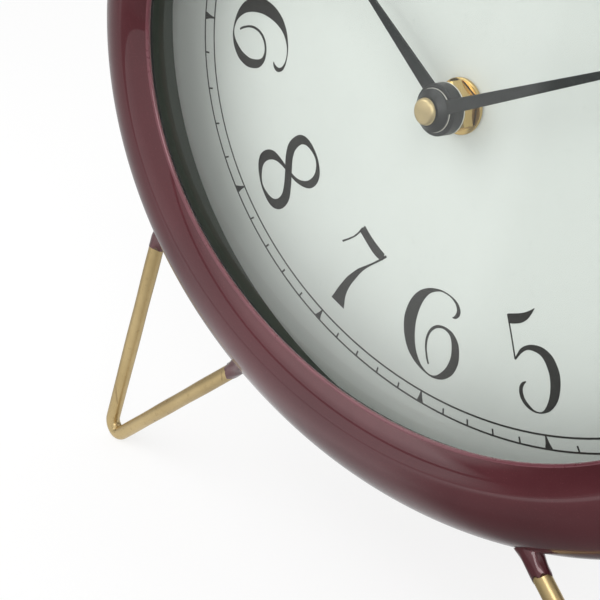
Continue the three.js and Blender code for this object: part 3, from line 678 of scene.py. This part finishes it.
def inkRibbon(stroke, closed, shape, onDial):
    # a stroke of changing width as a thin raised strip
    run = smoothRun(stroke, closed, shape["strokeSteps"])
    count = len(run)
    front, back = shape["inkFront"], shape["inkBack"]
    loops = []
    for i, p in enumerate(run):
        before = run[i - 1] if closed or i else run[0]
        after = run[(i + 1) % count] if closed or i < count - 1 else run[-1]
        along = Vector((after.x - before.x, after.y - before.y)).normalized()
        half = max(p.z, shape["thinnest"]) / 2
        left = onDial(p.x - along.y * half, p.y + along.x * half)
        right = onDial(p.x + along.y * half, p.y - along.x * half)
        loops.append([(left[0], front, left[1]), (right[0], front, right[1]),
                      (right[0], back, right[1]), (left[0], back, left[1])])
    return loft(loops, wrap=closed, ends=not closed)


def inkPatch(corners, shape, onDial):
    flat = [onDial(x, z) for x, z in corners]
    return rod([[(x, depth, z) for x, z in flat] for depth in (shape["inkFront"], shape["inkBack"])])


def ovalRadius(turn, halfWidth, halfHeight):
    return 1 / math.hypot(math.sin(turn) / halfWidth, math.cos(turn) / halfHeight)


def radialPlace(turn, radius, inward=False, scale=1, shift=0, offset=0):
    # a function from a numeral's own plane to the dial, its top away from or towards the hub
    out = Vector((math.sin(turn), math.cos(turn)))
    up = -out if inward else out
    right = Vector((up.y, -up.x))
    middle = out * radius + Vector((offset, 0))

    def onDial(x, z):
        spot = middle + right * (x * scale + shift) + up * (z * scale)
        return spot.x, spot.y
    return onDial


def buildTrack(shape):
    parts = []
    line = shape["lineWidth"] / 2
    for wide, high in (shape["outerLine"], shape["innerLine"]):
        profile = boxProfile(high - line, high + line, shape["inkFront"], shape["inkBack"])
        parts.append(loft([ovalLoop(half, depth, wide - high) for half, depth in profile]))
    for minute in range(60):
        turn = math.radians(6 * minute)
        outer = ovalRadius(turn, *shape["outerLine"])
        if minute % 5:
            half, end = shape["tickWidth"] / 2, -shape["tickLength"]
            corners = [(-half, 0), (half, 0), (half, end), (-half, end)]
        else:
            half, tip = shape["markWidth"] / 2, shape["markTip"]
            end = ovalRadius(turn, *shape["innerLine"]) - outer
            neck, neckAt = half * shape["markNeck"], end * shape["markNeckAt"]
            corners = [(-half, 0), (half, 0), (neck, neckAt), (tip, end), (-tip, end), (-neck, neckAt)]
        parts.append(inkPatch(corners, shape, radialPlace(turn, outer)))
    addPiece("minute_track_print", joinParts(parts), "dial_ink", smoothAngle=20)


def buildNumerals(shape):
    for hour in range(1, 13):
        turn = math.radians(30 * hour)
        radius = ovalRadius(turn, *shape["numeralOval"])
        digits = str(hour)
        shifts = shape["pairShifts"].get(digits, (0,))
        scale = shape["pairScale"] if len(digits) > 1 else 1
        inward = hour in shape["inwardHours"]
        parts = []
        for digit, shift in zip(digits, shifts):
            onDial = radialPlace(turn, radius, inward, scale, shift, shape["numeralShift"])
            for stroke in numeralStrokes[digit]:
                parts.append(inkRibbon(stroke, digit in closedNumerals, shape, onDial))
        addPiece(f"numeral_{hour}_print", joinParts(parts), "dial_ink", smoothAngle=20)


buildTrack(printShape)
buildNumerals(printShape)
print("dial print built")


# Hub: washer, chamfered nut, hand bosses and cap nut
hubShape = dict(
    bore=3.8, washerEdge=0.15, nutChamfer=0.55, nutEdge=0.05, nutFace=0.985, bossEdge=0.25,
    capEdge=0.45, capMiddle=0.05, capRounding=((1.4, 0.04), (0.8, 0.12), (0.25, 0.35), (0, 0.75)),
)
roundEdge = ((1, 0), (0.4, 0.25), (0.1, 0.6), (0, 1))      # shares of an edge, inward and back


def edgedDisc(radius, front, back, edge):
    # flat front with a small round edge, flat back
    return [*((radius - edge * inward, front + edge * down) for inward, down in roundEdge), (radius, back)]


def buildWasher(shape):
    low, high = extent("brass_washer")
    profile = [(shape["bore"], low.y), *edgedDisc(high.z, low.y, high.y, shape["washerEdge"]),
               (shape["bore"], high.y)]
    addPiece("hub_washer", turnedRing(profile), "hub_brass", node="brass_washer")


def buildNut(shape):
    low, high = extent("hex_nut")
    corner = high.z
    flat = corner * math.cos(math.pi / 6)
    columns = []
    for turn in fullTurns(roundSteps):
        sector = (turn % (math.pi / 3)) - math.pi / 6
        reach = flat / math.cos(sector)
        chamfer = shape["nutChamfer"] * (reach - flat) / (corner - flat)
        rings = [(shape["bore"], high.y), (reach, high.y), (reach, low.y + chamfer + shape["nutEdge"]),
                 (flat * shape["nutFace"], low.y), (shape["bore"], low.y)]
        columns.append([(radius * math.sin(turn), depth, radius * math.cos(turn)) for radius, depth in rings])
    addPiece("hub_nut", loft(list(zip(*columns))), "hub_brass", node="hex_nut", smoothAngle=20)


def buildCap(shape):
    low, high = extent("cap_nut")
    middle = shape["capMiddle"]
    dome = [(high.z - shape["capEdge"] * inward, low.y + down) for inward, down in shape["capRounding"]]
    profile = [(middle, low.y), *dome, (high.z, high.y), (middle, high.y)]
    addPiece("hub_cap", turnedSolid(profile), "cap_brass", "minute", "cap_nut")


handShape = dict(
    hour=dict(node="hour_hand", length=35.0, root=3.2, tip=0.7, boss=4.6, bore=2.7, angle=305.53),
    minute=dict(node="minute_hand", length=52.0, root=2.6, tip=0.7, boss=3.8, bore=1.8, angle=66.4,
                nose=2.65, shoulder=0.72, shoulderEdge=0.6),
    thickness=0.5, bevel=0.12, rimWidth=0.16, rimStand=0.08, rimBehind=0.03, rimBoreGap=0.1,
)


def buildHand(body, shape, common, edge):
    low, high = extent(shape["node"])
    onDial = radialPlace(math.radians(shape["angle"]), 0)
    root, tip, length = shape["root"] / 2, shape["tip"] / 2, shape["length"]
    bevel, back = common["bevel"], high.y
    front = back - common["thickness"]
    loops = []
    for inset, depth in ((bevel, front), (0, front + bevel), (0, back - bevel), (bevel, back)):
        corners = [(-root + inset, 0), (-tip + inset, length - inset), (tip - inset, length - inset),
                   (root - inset, 0)]
        loops.append([(x, depth, z) for x, z in (onDial(*c) for c in corners)])
    addPiece(f"{body}_blade", rod(loops), "hand_black", body, shape["node"], smoothAngle=20)
    rim = edgedDisc(shape["boss"], low.y, high.y, edge)
    if "nose" in shape:                            # a cone from the nose to the shoulder
        shoulder = low.y + (high.y - low.y) * shape["shoulder"]
        rim = [(shape["nose"], low.y), (shape["boss"] - edge, shoulder - edge * shape["shoulderEdge"]),
               (shape["boss"], shoulder), rim[-1]]
    profile = [(shape["bore"], low.y), *rim, (shape["bore"], high.y)]
    # the bosses take the darker black, painted shade
    addPiece(f"{body}_boss", turnedRing(profile), "boss_black_shaded", body)
    # a pale ring at the back of each boss, painted as the white highlight along the boss edges
    ring = boxProfile(shape["bore"] + common["rimBoreGap"], shape["boss"] + common["rimStand"],
                      high.y - common["rimWidth"], high.y + common["rimBehind"])
    addPiece(f"{body}_boss_highlight_rim", turnedRing(ring), "wheel_nylon", body)


buildWasher(hubShape)
buildNut(hubShape)
for body in ("hour", "minute"):
    buildHand(body, handShape[body], handShape, hubShape["bossEdge"])
buildCap(hubShape)
print("hub and hands built")


# Wire legs, from the case down to a foot and back, with a paint-covered weld at each end
legShape = dict(
    wire=3.5, wireShort=1.2,                       # the wire ends in the weld, this far from the case
    bend=2.6, bendTilt=33, footFlat=0.3, sides=28, bendSteps=14, runSteps=24,
    plane=-13.0, footSpread=87.9, upperTurn=50.7, lowerTurn=25.8,
    rearTurn=14, rearDepth=14.0, rearReach=32.0,
    waver=0.06, waverPitch=0.55, waverDrift=2.3, waverDriftPitch=0.13,
)
weldShape = dict(
    swell=0.5, swellPower=2.2, thin=0.12, length=3.9, rings=14, sunk=2.4,
    lumps=((0.22, 3, 5), (0.15, 5, -9)),           # size, count round the wire, drift along it
    ragged=((0.12, 2, 1.1), (0.08, 5, 0), (0.05, 9, 0)),    # size, count, start
)


def caseJoint(turnFromBelow, depth):
    turn = math.radians(turnFromBelow)
    return toRow(caseHigh.x * math.sin(turn), depth, -caseHigh.z * math.cos(turn)) / mm


def wireRoute(start, foot, end, shape):
    # two straight runs and the round bend between them, in millimetres in the row frame
    out, back = (start - foot).normalized(), (end - foot).normalized()
    toMiddle = (out + back).normalized()
    side = (out - back).normalized()
    sweep = math.pi / 2 - out.angle(back) / 2
    middle = foot + toMiddle * shape["bend"]
    bend = []
    for i in range(shape["bendSteps"] + 1):
        turn = sweep - 2 * sweep * i / shape["bendSteps"]
        bend.append(middle + (side * math.sin(turn) - toMiddle * math.cos(turn)) * shape["bend"])
    runs = [i / shape["runSteps"] for i in range(shape["runSteps"])]
    down = [start.lerp(bend[0], share) for share in runs]
    up = [end.lerp(bend[-1], share) for share in runs][::-1]
    return [*down, *bend, *up], middle, side


def buildLeg(name, joints, foot, shape):
    radius = shape["wire"] / 2
    start, end = (joint + (foot - joint).normalized() * shape["wireShort"] for joint in joints)
    route, middle, mitre = wireRoute(start, foot, end, shape)
    across = (start - foot).cross(end - foot).normalized()
    loops = []
    for i, spot in enumerate(route):
        before, after = route[max(i - 1, 0)], route[min(i + 1, len(route) - 1)]
        other = (after - before).normalized().cross(across)
        drift = i * shape["waverPitch"] + shape["waverDrift"] * math.sin(i * shape["waverDriftPitch"])
        half = 1 if i * 2 < len(route) else -1     # each half stops at the mitre, which leaves a crease
        loop = []
        for turn in fullTurns(shape["sides"]):
            uneven = radius - shape["waver"] * (0.5 + 0.5 * math.sin(drift + 2 * turn))
            p = spot + (across * math.cos(turn) + other * math.sin(turn)) * uneven
            p -= mitre * min((p - middle).dot(mitre) * half, 0) * half
            loop.append((p.x, p.y, max(p.z, 0)))
        loops.append(loop)
    addPiece(f"{name}_wire", rod(loops), "leg_gold", node=name, place=inRow)


def buildWeld(name, joint, foot, wire, shape):
    # a lumpy bead that swells out of the case wall and thins down to the wire, with a ragged end
    along = (foot - joint).normalized()
    inward = (toRow(0, (rowToClock @ (joint * mm)).y / mm, 0) / mm - joint).normalized()
    across = along.orthogonal().normalized()
    other = along.cross(across)
    loops = []
    for i in range(shape["rings"] + 1):
        share = i / shape["rings"]
        swell = shape["swell"] * (1 - share) ** shape["swellPower"] + shape["thin"]
        sunk = shape["sunk"] * (1 - share) ** 2
        loop = []
        for turn in fullTurns(legShape["sides"]):
            lump = 1 + sum(size * math.sin(n * turn + drift * share) for size, n, drift in shape["lumps"])
            torn = 1 + share * sum(size * math.sin(n * turn + start) for size, n, start in shape["ragged"])
            spot = joint + along * (shape["length"] * share * torn) + inward * sunk
            p = spot + (across * math.cos(turn) + other * math.sin(turn)) * (wire / 2 + swell * lump)
            loop.append((p.x, p.y, p.z))
        loops.append(loop)
    addPiece(f"{name}_bead", rod(loops), "case_paint", node=name, place=inRow)


def buildLegs(shape):
    hubPlace = toRow(0, 0, 0) / mm
    footHeight = shape["wire"] / 2 - shape["footFlat"]
    lean = math.asin(-backwards.z)
    bendRise = shape["bend"] * (1 - math.cos(math.radians(shape["bendTilt"])))
    drop = (footHeight + bendRise - hubPlace.z + shape["plane"] * math.sin(lean)) / math.cos(lean)
    plans = []
    for name, side in (("left_leg", -1), ("right_leg", 1)):
        joints = {"upper": caseJoint(side * shape["upperTurn"], shape["plane"]),
                  "lower": caseJoint(side * shape["lowerTurn"], shape["plane"])}
        plans.append((name, joints, toRow(side * shape["footSpread"], shape["plane"], drop) / mm))
    joints = {"left": caseJoint(-shape["rearTurn"], shape["rearDepth"]),
              "right": caseJoint(shape["rearTurn"], shape["rearDepth"])}
    plans.append(("rear_leg", joints, Vector((0, hubPlace.y + shape["rearReach"], footHeight))))
    for name, joints, foot in plans:
        buildLeg(name, joints.values(), foot, shape)
        for end, joint in joints.items():
            buildWeld(f"{name}_weld_{end}", joint, foot, shape["wire"], weldShape)


buildLegs(legShape)
print("legs and welds built")


# Flat-ended solids: outlines are lists of (x, z), a face may have holes
def roundedBox(left, right, bottom, top, corner, steps=6):
    points = []
    for x, z, start in ((right - corner, top - corner, 0), (right - corner, bottom + corner, 90),
                        (left + corner, bottom + corner, 180), (left + corner, top - corner, 270)):
        for i in range(steps + 1):
            turn = math.radians(start + 90 * i / steps)
            points.append((x + corner * math.sin(turn), z + corner * math.cos(turn)))
    return points


def roundOutline(x, z, radius, steps=48):
    return [(x + radius * math.sin(t), z + radius * math.cos(t)) for t in fullTurns(steps)]


def crossOutline(x, z, half, reach, turn=0):
    corners = [(half, half), (half, reach), (-half, reach), (-half, half), (-reach, half), (-reach, -half),
               (-half, -half), (-half, -reach), (half, -reach), (half, -half), (reach, -half), (reach, half)]
    c, s = math.cos(turn), math.sin(turn)
    return [(x + a * c - b * s, z + a * s + b * c) for a, b in corners]


def endFace(outlines, depth):
    # flat face inside the first outline and outside the others
    points = [(x, depth, z) for outline in outlines for x, z in outline]
    flat = [[Vector((x, z, 0)) for x, z in outline] for outline in outlines]
    return points, [tuple(face) for face in tessellate_polygon(flat)]


def walls(*rings):
    # skin through (outline, depth) pairs, open at both ends
    return loft([[(x, depth, z) for x, z in outline] for outline, depth in rings], wrap=False)


def pad(outline, front, back):
    return joinParts([walls((outline, front), (outline, back)), endFace([outline], front),
                      endFace([outline], back)])


# Back cover: one pressing with a raised field between the screws and the window
coverShape = dict(sheet=0.8, windowGap=1.0, windowPower=16,
                  steps=((0, -0.35), (0.012, 0), (0.2, 0), (0.23, 0.25), (0.27, 0.7), (0.3, 0.9),
                         (0.78, 0.9), (0.81, 0.7), (0.85, 0.25), (0.88, 0), (1, 0)))


def buildCover(shape, rim, seat):
    middle = (trayLow + trayHigh) / 2
    halfWide = (trayHigh.x - trayLow.x) / 2 + shape["windowGap"]
    halfHigh = (trayHigh.z - trayLow.z) / 2 + shape["windowGap"]
    power = shape["windowPower"]
    pairs = []                                     # a point on the rim, and one on the window's edge
    for turn, (x, _, z) in zip(fullTurns(ovalSteps), ovalLoop(rim, 0)):
        wide, high = abs(math.sin(turn) / halfWide), abs(math.cos(turn) / halfHigh)
        reach = (wide ** power + high ** power) ** (-1 / power)
        pairs.append((x, z, middle.x + reach * math.sin(turn), middle.z + reach * math.cos(turn)))
    loops = []
    for offset, steps in ((0, shape["steps"]), (-shape["sheet"], shape["steps"][::-1])):
        for share, rise in steps:
            depth = seat + rise + offset
            loops.append([(x + (u - x) * share, depth, z + (w - z) * share) for x, z, u, w in pairs])
    addPiece("cover_pressing", loft(loops), "cover_black", node="back_cover", smoothAngle=40)


# Cover screws: pan heads with a cross recess, each stopped at its own turn
screwShape = dict(straight=0.5, domeSteps=6, flat=0.62, crossHalf=0.4, crossReach=1.45, recess=0.9,
                  turnStep=0.5)


def buildScrews(shape, seat):
    for index, name in enumerate(sorted(n for n in frame["nodes"] if n.startswith("cover_screw"))):
        low, high = extent(name)
        x, z, radius = (low.x + high.x) / 2, (low.z + high.z) / 2, (high.x - low.x) / 2
        top, side, floor = high.y, seat + shape["straight"], high.y - shape["recess"]
        rings = [(roundOutline(x, z, radius), seat), (roundOutline(x, z, radius), side)]
        for i in range(1, shape["domeSteps"] + 1):
            turn = math.pi / 2 * i / shape["domeSteps"]
            reach = radius * (shape["flat"] + (1 - shape["flat"]) * math.cos(turn))
            rings.append((roundOutline(x, z, reach), side + (top - side) * math.sin(turn)))
        cross = crossOutline(x, z, shape["crossHalf"], shape["crossReach"], index * shape["turnStep"])
        parts = [walls(*rings), endFace([rings[0][0]], seat), endFace([rings[-1][0], cross], top),
                 walls((cross, top), (cross, floor)), endFace([cross], floor)]
        addPiece(f"{name}_head", joinParts(parts), "zinc_steel", node=name)


# Movement case: open to the front for the wheels, with a battery bay and a knob hole at the back
trayShape = dict(corner=2.5, cornerInside=1.2, edge=0.6, edgeTurns=(30, 60, 90), wall=1.5, bay=15.0,
                 knobHole=1.5)
reliefShape = dict(                                # raised on the back of the movement case
    sunk=0.05, ribs=5, ribPitch=2.6, ribWidth=0.9, ribLength=17.0, ribRise=0.35, ribInset=4.0,
    ribRounding=2.2, markHalf=0.45, markReach=1.9, markRise=0.3, markInset=5.0, markCorner=0.2,
    collarGap=1.0, collarWidth=0.9, collarRise=0.5, collarEdge=0.2,
)
trayLeft, trayRight = trayLow.x + trayShape["wall"], trayHigh.x - trayShape["wall"]
bayLow = trayLow.z + trayShape["wall"]
bayHigh = bayLow + trayShape["bay"]


def buildTray(shape):
    wall, edge, front, back = shape["wall"], shape["edge"], trayLow.y, trayHigh.y
    left, right, low, high = trayLow.x, trayHigh.x, trayLow.z, trayHigh.z
    outer = roundedBox(left, right, low, high, shape["corner"])
    rims = [(outer, front), (outer, back - edge)]
    for turn in map(math.radians, shape["edgeTurns"]):
        inset = edge * (1 - math.cos(turn))
        trimmed = roundedBox(left + inset, right - inset, low + inset, high - inset, shape["corner"] - inset)
        rims.append((trimmed, back - edge + edge * math.sin(turn)))
    bay = roundedBox(trayLeft, trayRight, bayLow, bayHigh, shape["cornerInside"])
    room = roundedBox(trayLeft, trayRight, bayHigh + wall, high - wall, shape["cornerInside"])
    hole = roundOutline(knobX, knobZ, shape["knobHole"])
    bayFloor, roomFloor = front + wall, back - wall
    parts = [walls(*rims), endFace([outer, room], front), walls((room, front), (room, roomFloor)),
             endFace([room, hole], roomFloor), walls((hole, roomFloor), (hole, back)),
             endFace([rims[-1][0], bay, hole], back), walls((bay, back), (bay, bayFloor)),
             endFace([bay], bayFloor)]
    addPiece("movement_case", joinParts(parts), "housing_plastic", node="movement_tray", smoothAngle=40)


def buildRelief(shape):
    back = trayHigh.y
    seat = back - shape["sunk"]
    ribs = []
    x, width = trayLow.x + shape["ribInset"], shape["ribWidth"]
    for i in range(shape["ribs"]):
        z = trayHigh.z - shape["ribInset"] - i * shape["ribPitch"]
        outline = roundedBox(x, x + shape["ribLength"], z - width, z, width / shape["ribRounding"])
        ribs.append(pad(outline, seat, back + shape["ribRise"]))
    addPiece("movement_ribs", joinParts(ribs), "housing_plastic")

    half, reach, inset = shape["markHalf"], shape["markReach"], shape["markInset"]
    x, z = trayLeft + inset, bayHigh + inset
    plus = crossOutline(trayRight - inset, z, half, reach)
    minus = roundedBox(x - reach, x + reach, z - half, z + half, shape["markCorner"])
    marks = [pad(outline, seat, back + shape["markRise"]) for outline in (plus, minus)]
    addPiece("battery_marks", joinParts(marks), "housing_plastic")

    inner, edge = knobRadius + shape["collarGap"], shape["collarEdge"]
    outer, rise = inner + shape["collarWidth"], back + shape["collarRise"]
    profile = [(inner, seat), (outer, seat), (outer, rise - edge), (outer - edge, rise),
               (inner + edge, rise), (inner, rise - edge)]
    addPiece("knob_collar", turnedRing(profile, knobX, knobZ), "housing_plastic")


# Setting knob: scalloped grip on a thin shaft
knobShape = dict(shaft=1.2, scallops=14, scallopDepth=0.35, scallopFrom=0.9, grip=3.0, dish=0.35,
                 dishShare=0.7, rings=((0.92, 0.0), (1.0, 0.12), (1.0, 0.85), (0.94, 1.0), (0.8, 1.0)))


def buildKnob(shape):
    gripFront = knobHigh.y - shape["grip"]

    def ring(reach, depth, scallop=0):
        loop = []
        for turn in fullTurns(roundSteps):
            r = reach - scallop * (0.5 - 0.5 * math.cos(shape["scallops"] * turn))
            loop.append((knobX + r * math.sin(turn), depth, knobZ + r * math.cos(turn)))
        return loop
    loops = [ring(shape["shaft"], knobLow.y), ring(shape["shaft"], gripFront)]
    for share, height in shape["rings"]:
        scallop = shape["scallopDepth"] if share > shape["scallopFrom"] else 0
        loops.append(ring(knobRadius * share, gripFront + shape["grip"] * height, scallop))
    loops.append(ring(knobRadius * shape["dishShare"], knobHigh.y - shape["dish"]))
    addPiece("knob_grip", rod(loops), "housing_plastic", "setting", "setting_knob")


# Battery: a jacket with a steel band and cup, and a steel button at one end
cellShape = dict(nub=2.7, nubLength=1.2, nubEdge=0.3, shoulder=0.5, shoulderShare=0.3, capEdge=5.9,
                 capGap=0.1, overlap=0.2, bandFrom=0.72, bandStand=0.02)


def buildCell(shape):
    radius = (cellHigh.z - cellLow.z) / 2
    depth, z = (cellLow.y + cellHigh.y) / 2, (cellLow.z + cellHigh.z) / 2

    def lying(x, along, up):
        return toRow(along, depth + x, z + up)
    cap, gap, lap = shape["capEdge"], shape["capGap"], shape["overlap"]
    tail, head = cellLow.x + gap, cellHigh.x - shape["nubLength"] - gap
    soft = shape["shoulder"]
    little = soft * shape["shoulderShare"]
    jacket = [(cap, tail), (radius - soft, tail), (radius - little, tail + little), (radius, tail + soft),
              (radius, head - soft), (radius - little, head - little), (radius - soft, head), (cap, head)]
    addPiece("cell_sleeve", turnedSolid(jacket), "cell_jacket", node="battery_cell", place=lying)
    band = boxProfile(radius - lap, radius + shape["bandStand"],
                      tail + (head - tail) * shape["bandFrom"], head - soft)
    addPiece("cell_band", turnedRing(band), "zinc_steel", place=lying)
    nub, tip, edge = shape["nub"], cellHigh.x, shape["nubEdge"]
    button = [(cap - lap, head - lap), (cap - lap, head + gap), (nub, head + gap), (nub, tip - edge),
              (nub - edge, tip), (lap, tip)]
    addPiece("cell_button", turnedSolid(button), "zinc_steel", place=lying)
    cup = [(cap - lap, tail + lap), (cap - lap, cellLow.x), (lap, cellLow.x)]
    addPiece("cell_cup", turnedSolid(cup), "zinc_steel", place=lying)


coverHigh = extent("back_cover")[1]
buildCover(coverShape, coverHigh.z, coverHigh.y)
buildScrews(screwShape, coverHigh.y)
buildTray(trayShape)
buildRelief(reliefShape)
buildKnob(knobShape)
buildCell(cellShape)
print("back built")


# Carried-over nodes take their finish from the record's slots
for part in frame["record"]["subparts"]:
    node = frame["nodes"][part["node"]]
    node.data.materials.clear()
    node.data.materials.append(materials[part["material_slot"]])
print("carried-over nodes painted")


# Floor, light and camera; bands are (position, shade) pairs that only mirrors see
studio = dict(
    floorSize=6.0, floorColour=(0.92, 0.92, 0.915), floorRough=0.8, floorLift=0.75, worldLight=0.85,
    tableSide=(0.809, -0.588, 0), tableSpan=(0.06, -0.14),
    # the table that mirrors see: painted reflection strips, darker about the clock's foot as painted shadow, and
    # darker far away
    tableBands=[(0.0, 0.26), (0.1, 0.26), (0.22, 0.9), (0.5, 0.9), (0.75, 0.5)],
    tableShadeMiddle=(0, -0.03, 0), tableShadeReach=(0, 1.5),
    tableShadeFall=[(0.0, 0.68), (0.03, 0.68), (0.057, 1.0), (0.6, 1.0), (0.87, 0.5)],
    roomAcross=(-0.272, 0.605, 0.748), roomSpan=(-0.6, 0.6), roomSide=(-0.62, -0.1), roomFade=0.7,
    roomBands=[(0.0, 0.95), (0.45, 0.95), (0.464, 0.1), (0.494, 0.1), (0.506, 0.95), (0.7, 1.5)],
    darkAcross=(-0.643, 0.766, -0.637), darkSpan=(-0.21, -0.14),
    darkBands=[(0.0, 0.05), (0.38, 0.05), (0.55, 0.9), (0.7, 1.5)],
)
lampAim = 0.09                                     # height that both lamps point at, in metres
lamps = {
    "left_lamp": dict(turn=-38, height=44, away=0.45, wide=0.38, tall=0.32, shine=1.75, mirrored=False),
    "right_lamp": dict(turn=58, height=38, away=1.4, wide=0.5, tall=0.8, shine=3.9, mirrored=True),
}
view = dict(place=(136.99, -151.43, 75.29), forward=(-0.6505, 0.5815, -0.4885), roll=-0.18, sensor=36,
            lens=72.51, shiftX=-0.0683, shiftY=-0.0078, nearest=0.01)


def alongIn(tree, vector, across, span):
    # how far a place or direction lies along a line, from 0 to 1 over the span
    return rangeIn(tree, vectorIn(tree, "DOT_PRODUCT", vector, across)["Value"], *span)


def shadeBands(tree, value, bands):
    # a grey that eases through the given (position, shade) pairs
    ramp = addNode(tree, "ShaderNodeValToRGB")
    ramp.color_ramp.interpolation = "EASE"
    stops = ramp.color_ramp.elements
    while len(stops) < len(bands):
        stops.new(0.5)
    for stop, (position, shade) in zip(stops, bands):
        stop.position = position
        stop.color = (shade, shade, shade, 1)
    link(tree, value, ramp.inputs["Fac"])
    return ramp.outputs["Color"]


def buildFloor(values):
    half = values["floorSize"] / 2
    mesh = bpy.data.meshes.new("floor")
    corners = [(-half, -half, 0), (half, -half, 0), (half, half, 0), (-half, half, 0)]
    mesh.from_pydata(corners, [], [(0, 1, 2, 3)])
    floor = bpy.data.objects.new("floor", mesh)
    bpy.context.scene.collection.objects.link(floor)
    material, tree, output, shader = startMaterial("floor_paper")
    setInputs(shader, {"Base Color": opaque(values["floorColour"]), "Roughness": values["floorRough"]})
    path = addNode(tree, "ShaderNodeLightPath").outputs
    paper = addNode(tree, "ShaderNodeEmission")         # lifts the paper towards white, shadow kept
    setInputs(paper, {"Color": white})
    seen = mathIn(tree, "MAXIMUM", path["Is Camera Ray"], path["Is Transmission Ray"])
    lift = mathIn(tree, "MULTIPLY", seen, values["floorLift"])
    lifted = mixShaders(tree, lift, shader.outputs["BSDF"], paper.outputs["Emission"])
    # for mirror rays the floor glows: painted reflection strips, with painted shade near the clock's foot and far
    # off
    table = addNode(tree, "ShaderNodeEmission")         # mirrors see a table with a bright strip
    place = addNode(tree, "ShaderNodeTexCoord").outputs["Object"]
    aside = alongIn(tree, place, values["tableSide"], values["tableSpan"])
    away = vectorIn(tree, "DISTANCE", place, values["tableShadeMiddle"])["Value"]
    away = rangeIn(tree, away, *values["tableShadeReach"])
    link(tree, shadeBands(tree, aside, values["tableBands"]), table.inputs["Color"])
    link(tree, shadeBands(tree, away, values["tableShadeFall"]), table.inputs["Strength"])
    link(tree, mixShaders(tree, path["Is Glossy Ray"], lifted, table.outputs["Emission"]),
         output.inputs["Surface"])
    mesh.materials.append(material)


def buildWorld(values):
    # even light for the surfaces, white for the camera, and a room of soft bands for mirrors
    world = bpy.data.worlds.new("studio")
    bpy.context.scene.world = world
    tree = clearTree(world)
    output = addNode(tree, "ShaderNodeOutputWorld")
    even, backdrop, room = (addNode(tree, "ShaderNodeBackground") for _ in range(3))
    setInputs(even, {"Color": white, "Strength": values["worldLight"]})
    setInputs(backdrop, {"Color": white})
    place = addNode(tree, "ShaderNodeTexCoord").outputs["Generated"]
    parts = addNode(tree, "ShaderNodeSeparateXYZ")
    link(tree, place, parts.inputs["Vector"])
    height = alongIn(tree, place, values["roomAcross"], values["roomSpan"])
    dim = alongIn(tree, place, values["darkAcross"], values["darkSpan"])
    bright = shadeBands(tree, height, values["roomBands"])
    dark = shadeBands(tree, parts.outputs["Z"], values["darkBands"])
    link(tree, mixIn(tree, dim, bright, dark), room.inputs["Color"])
    fade = rangeIn(tree, parts.outputs["X"], *values["roomSide"], 1.0, values["roomFade"])
    link(tree, fade, room.inputs["Strength"])
    path = addNode(tree, "ShaderNodeLightPath").outputs
    lit = mixShaders(tree, path["Is Glossy Ray"], even.outputs["Background"], room.outputs["Background"])
    seen = mathIn(tree, "MAXIMUM", path["Is Camera Ray"], path["Is Transmission Ray"])
    link(tree, mixShaders(tree, seen, lit, backdrop.outputs["Background"]), output.inputs["Surface"])


def buildLamp(name, values):
    # a soft box at a turn from the front and a height above the table, both in degrees
    turn, height = math.radians(values["turn"]), math.radians(values["height"])
    level = math.cos(height)
    out = Vector((math.sin(turn) * level, -math.cos(turn) * level, math.sin(height)))
    lamp = bpy.data.lights.new(name, "AREA")
    lamp.shape = "RECTANGLE"
    lamp.size = values["wide"]
    lamp.size_y = values["tall"]
    lamp.energy = values["shine"] * math.pi * values["wide"] * values["tall"]
    holder = bpy.data.objects.new(name, lamp)
    holder.visible_glossy = values["mirrored"]
    holder.location = Vector((0, 0, lampAim)) + out * values["away"]
    holder.rotation_euler = (-out).to_track_quat("-Z", "Y").to_euler()
    bpy.context.scene.collection.objects.link(holder)


def buildCamera(values):
    camera = bpy.data.cameras.new("photo_view")
    camera.sensor_width = values["sensor"]
    camera.lens = values["lens"]
    camera.shift_x = values["shiftX"]
    camera.shift_y = values["shiftY"]
    camera.clip_start = values["nearest"]
    holder = bpy.data.objects.new("photo_view", camera)
    holder.location = Vector(hubJoint["pos_m"]) + Vector(values["place"]) * mm
    level = Vector(values["forward"]).to_track_quat("-Z", "Y")
    tilt = Quaternion((0, 0, 1), math.radians(values["roll"]))
    holder.rotation_euler = (level @ tilt).to_euler()
    bpy.context.scene.collection.objects.link(holder)
    bpy.context.scene.camera = holder


buildFloor(studio)
buildWorld(studio)
for name, lamp in lamps.items():
    buildLamp(name, lamp)
buildCamera(view)
bpy.context.scene.view_settings.view_transform = "Standard"
print("floor, light and camera set")
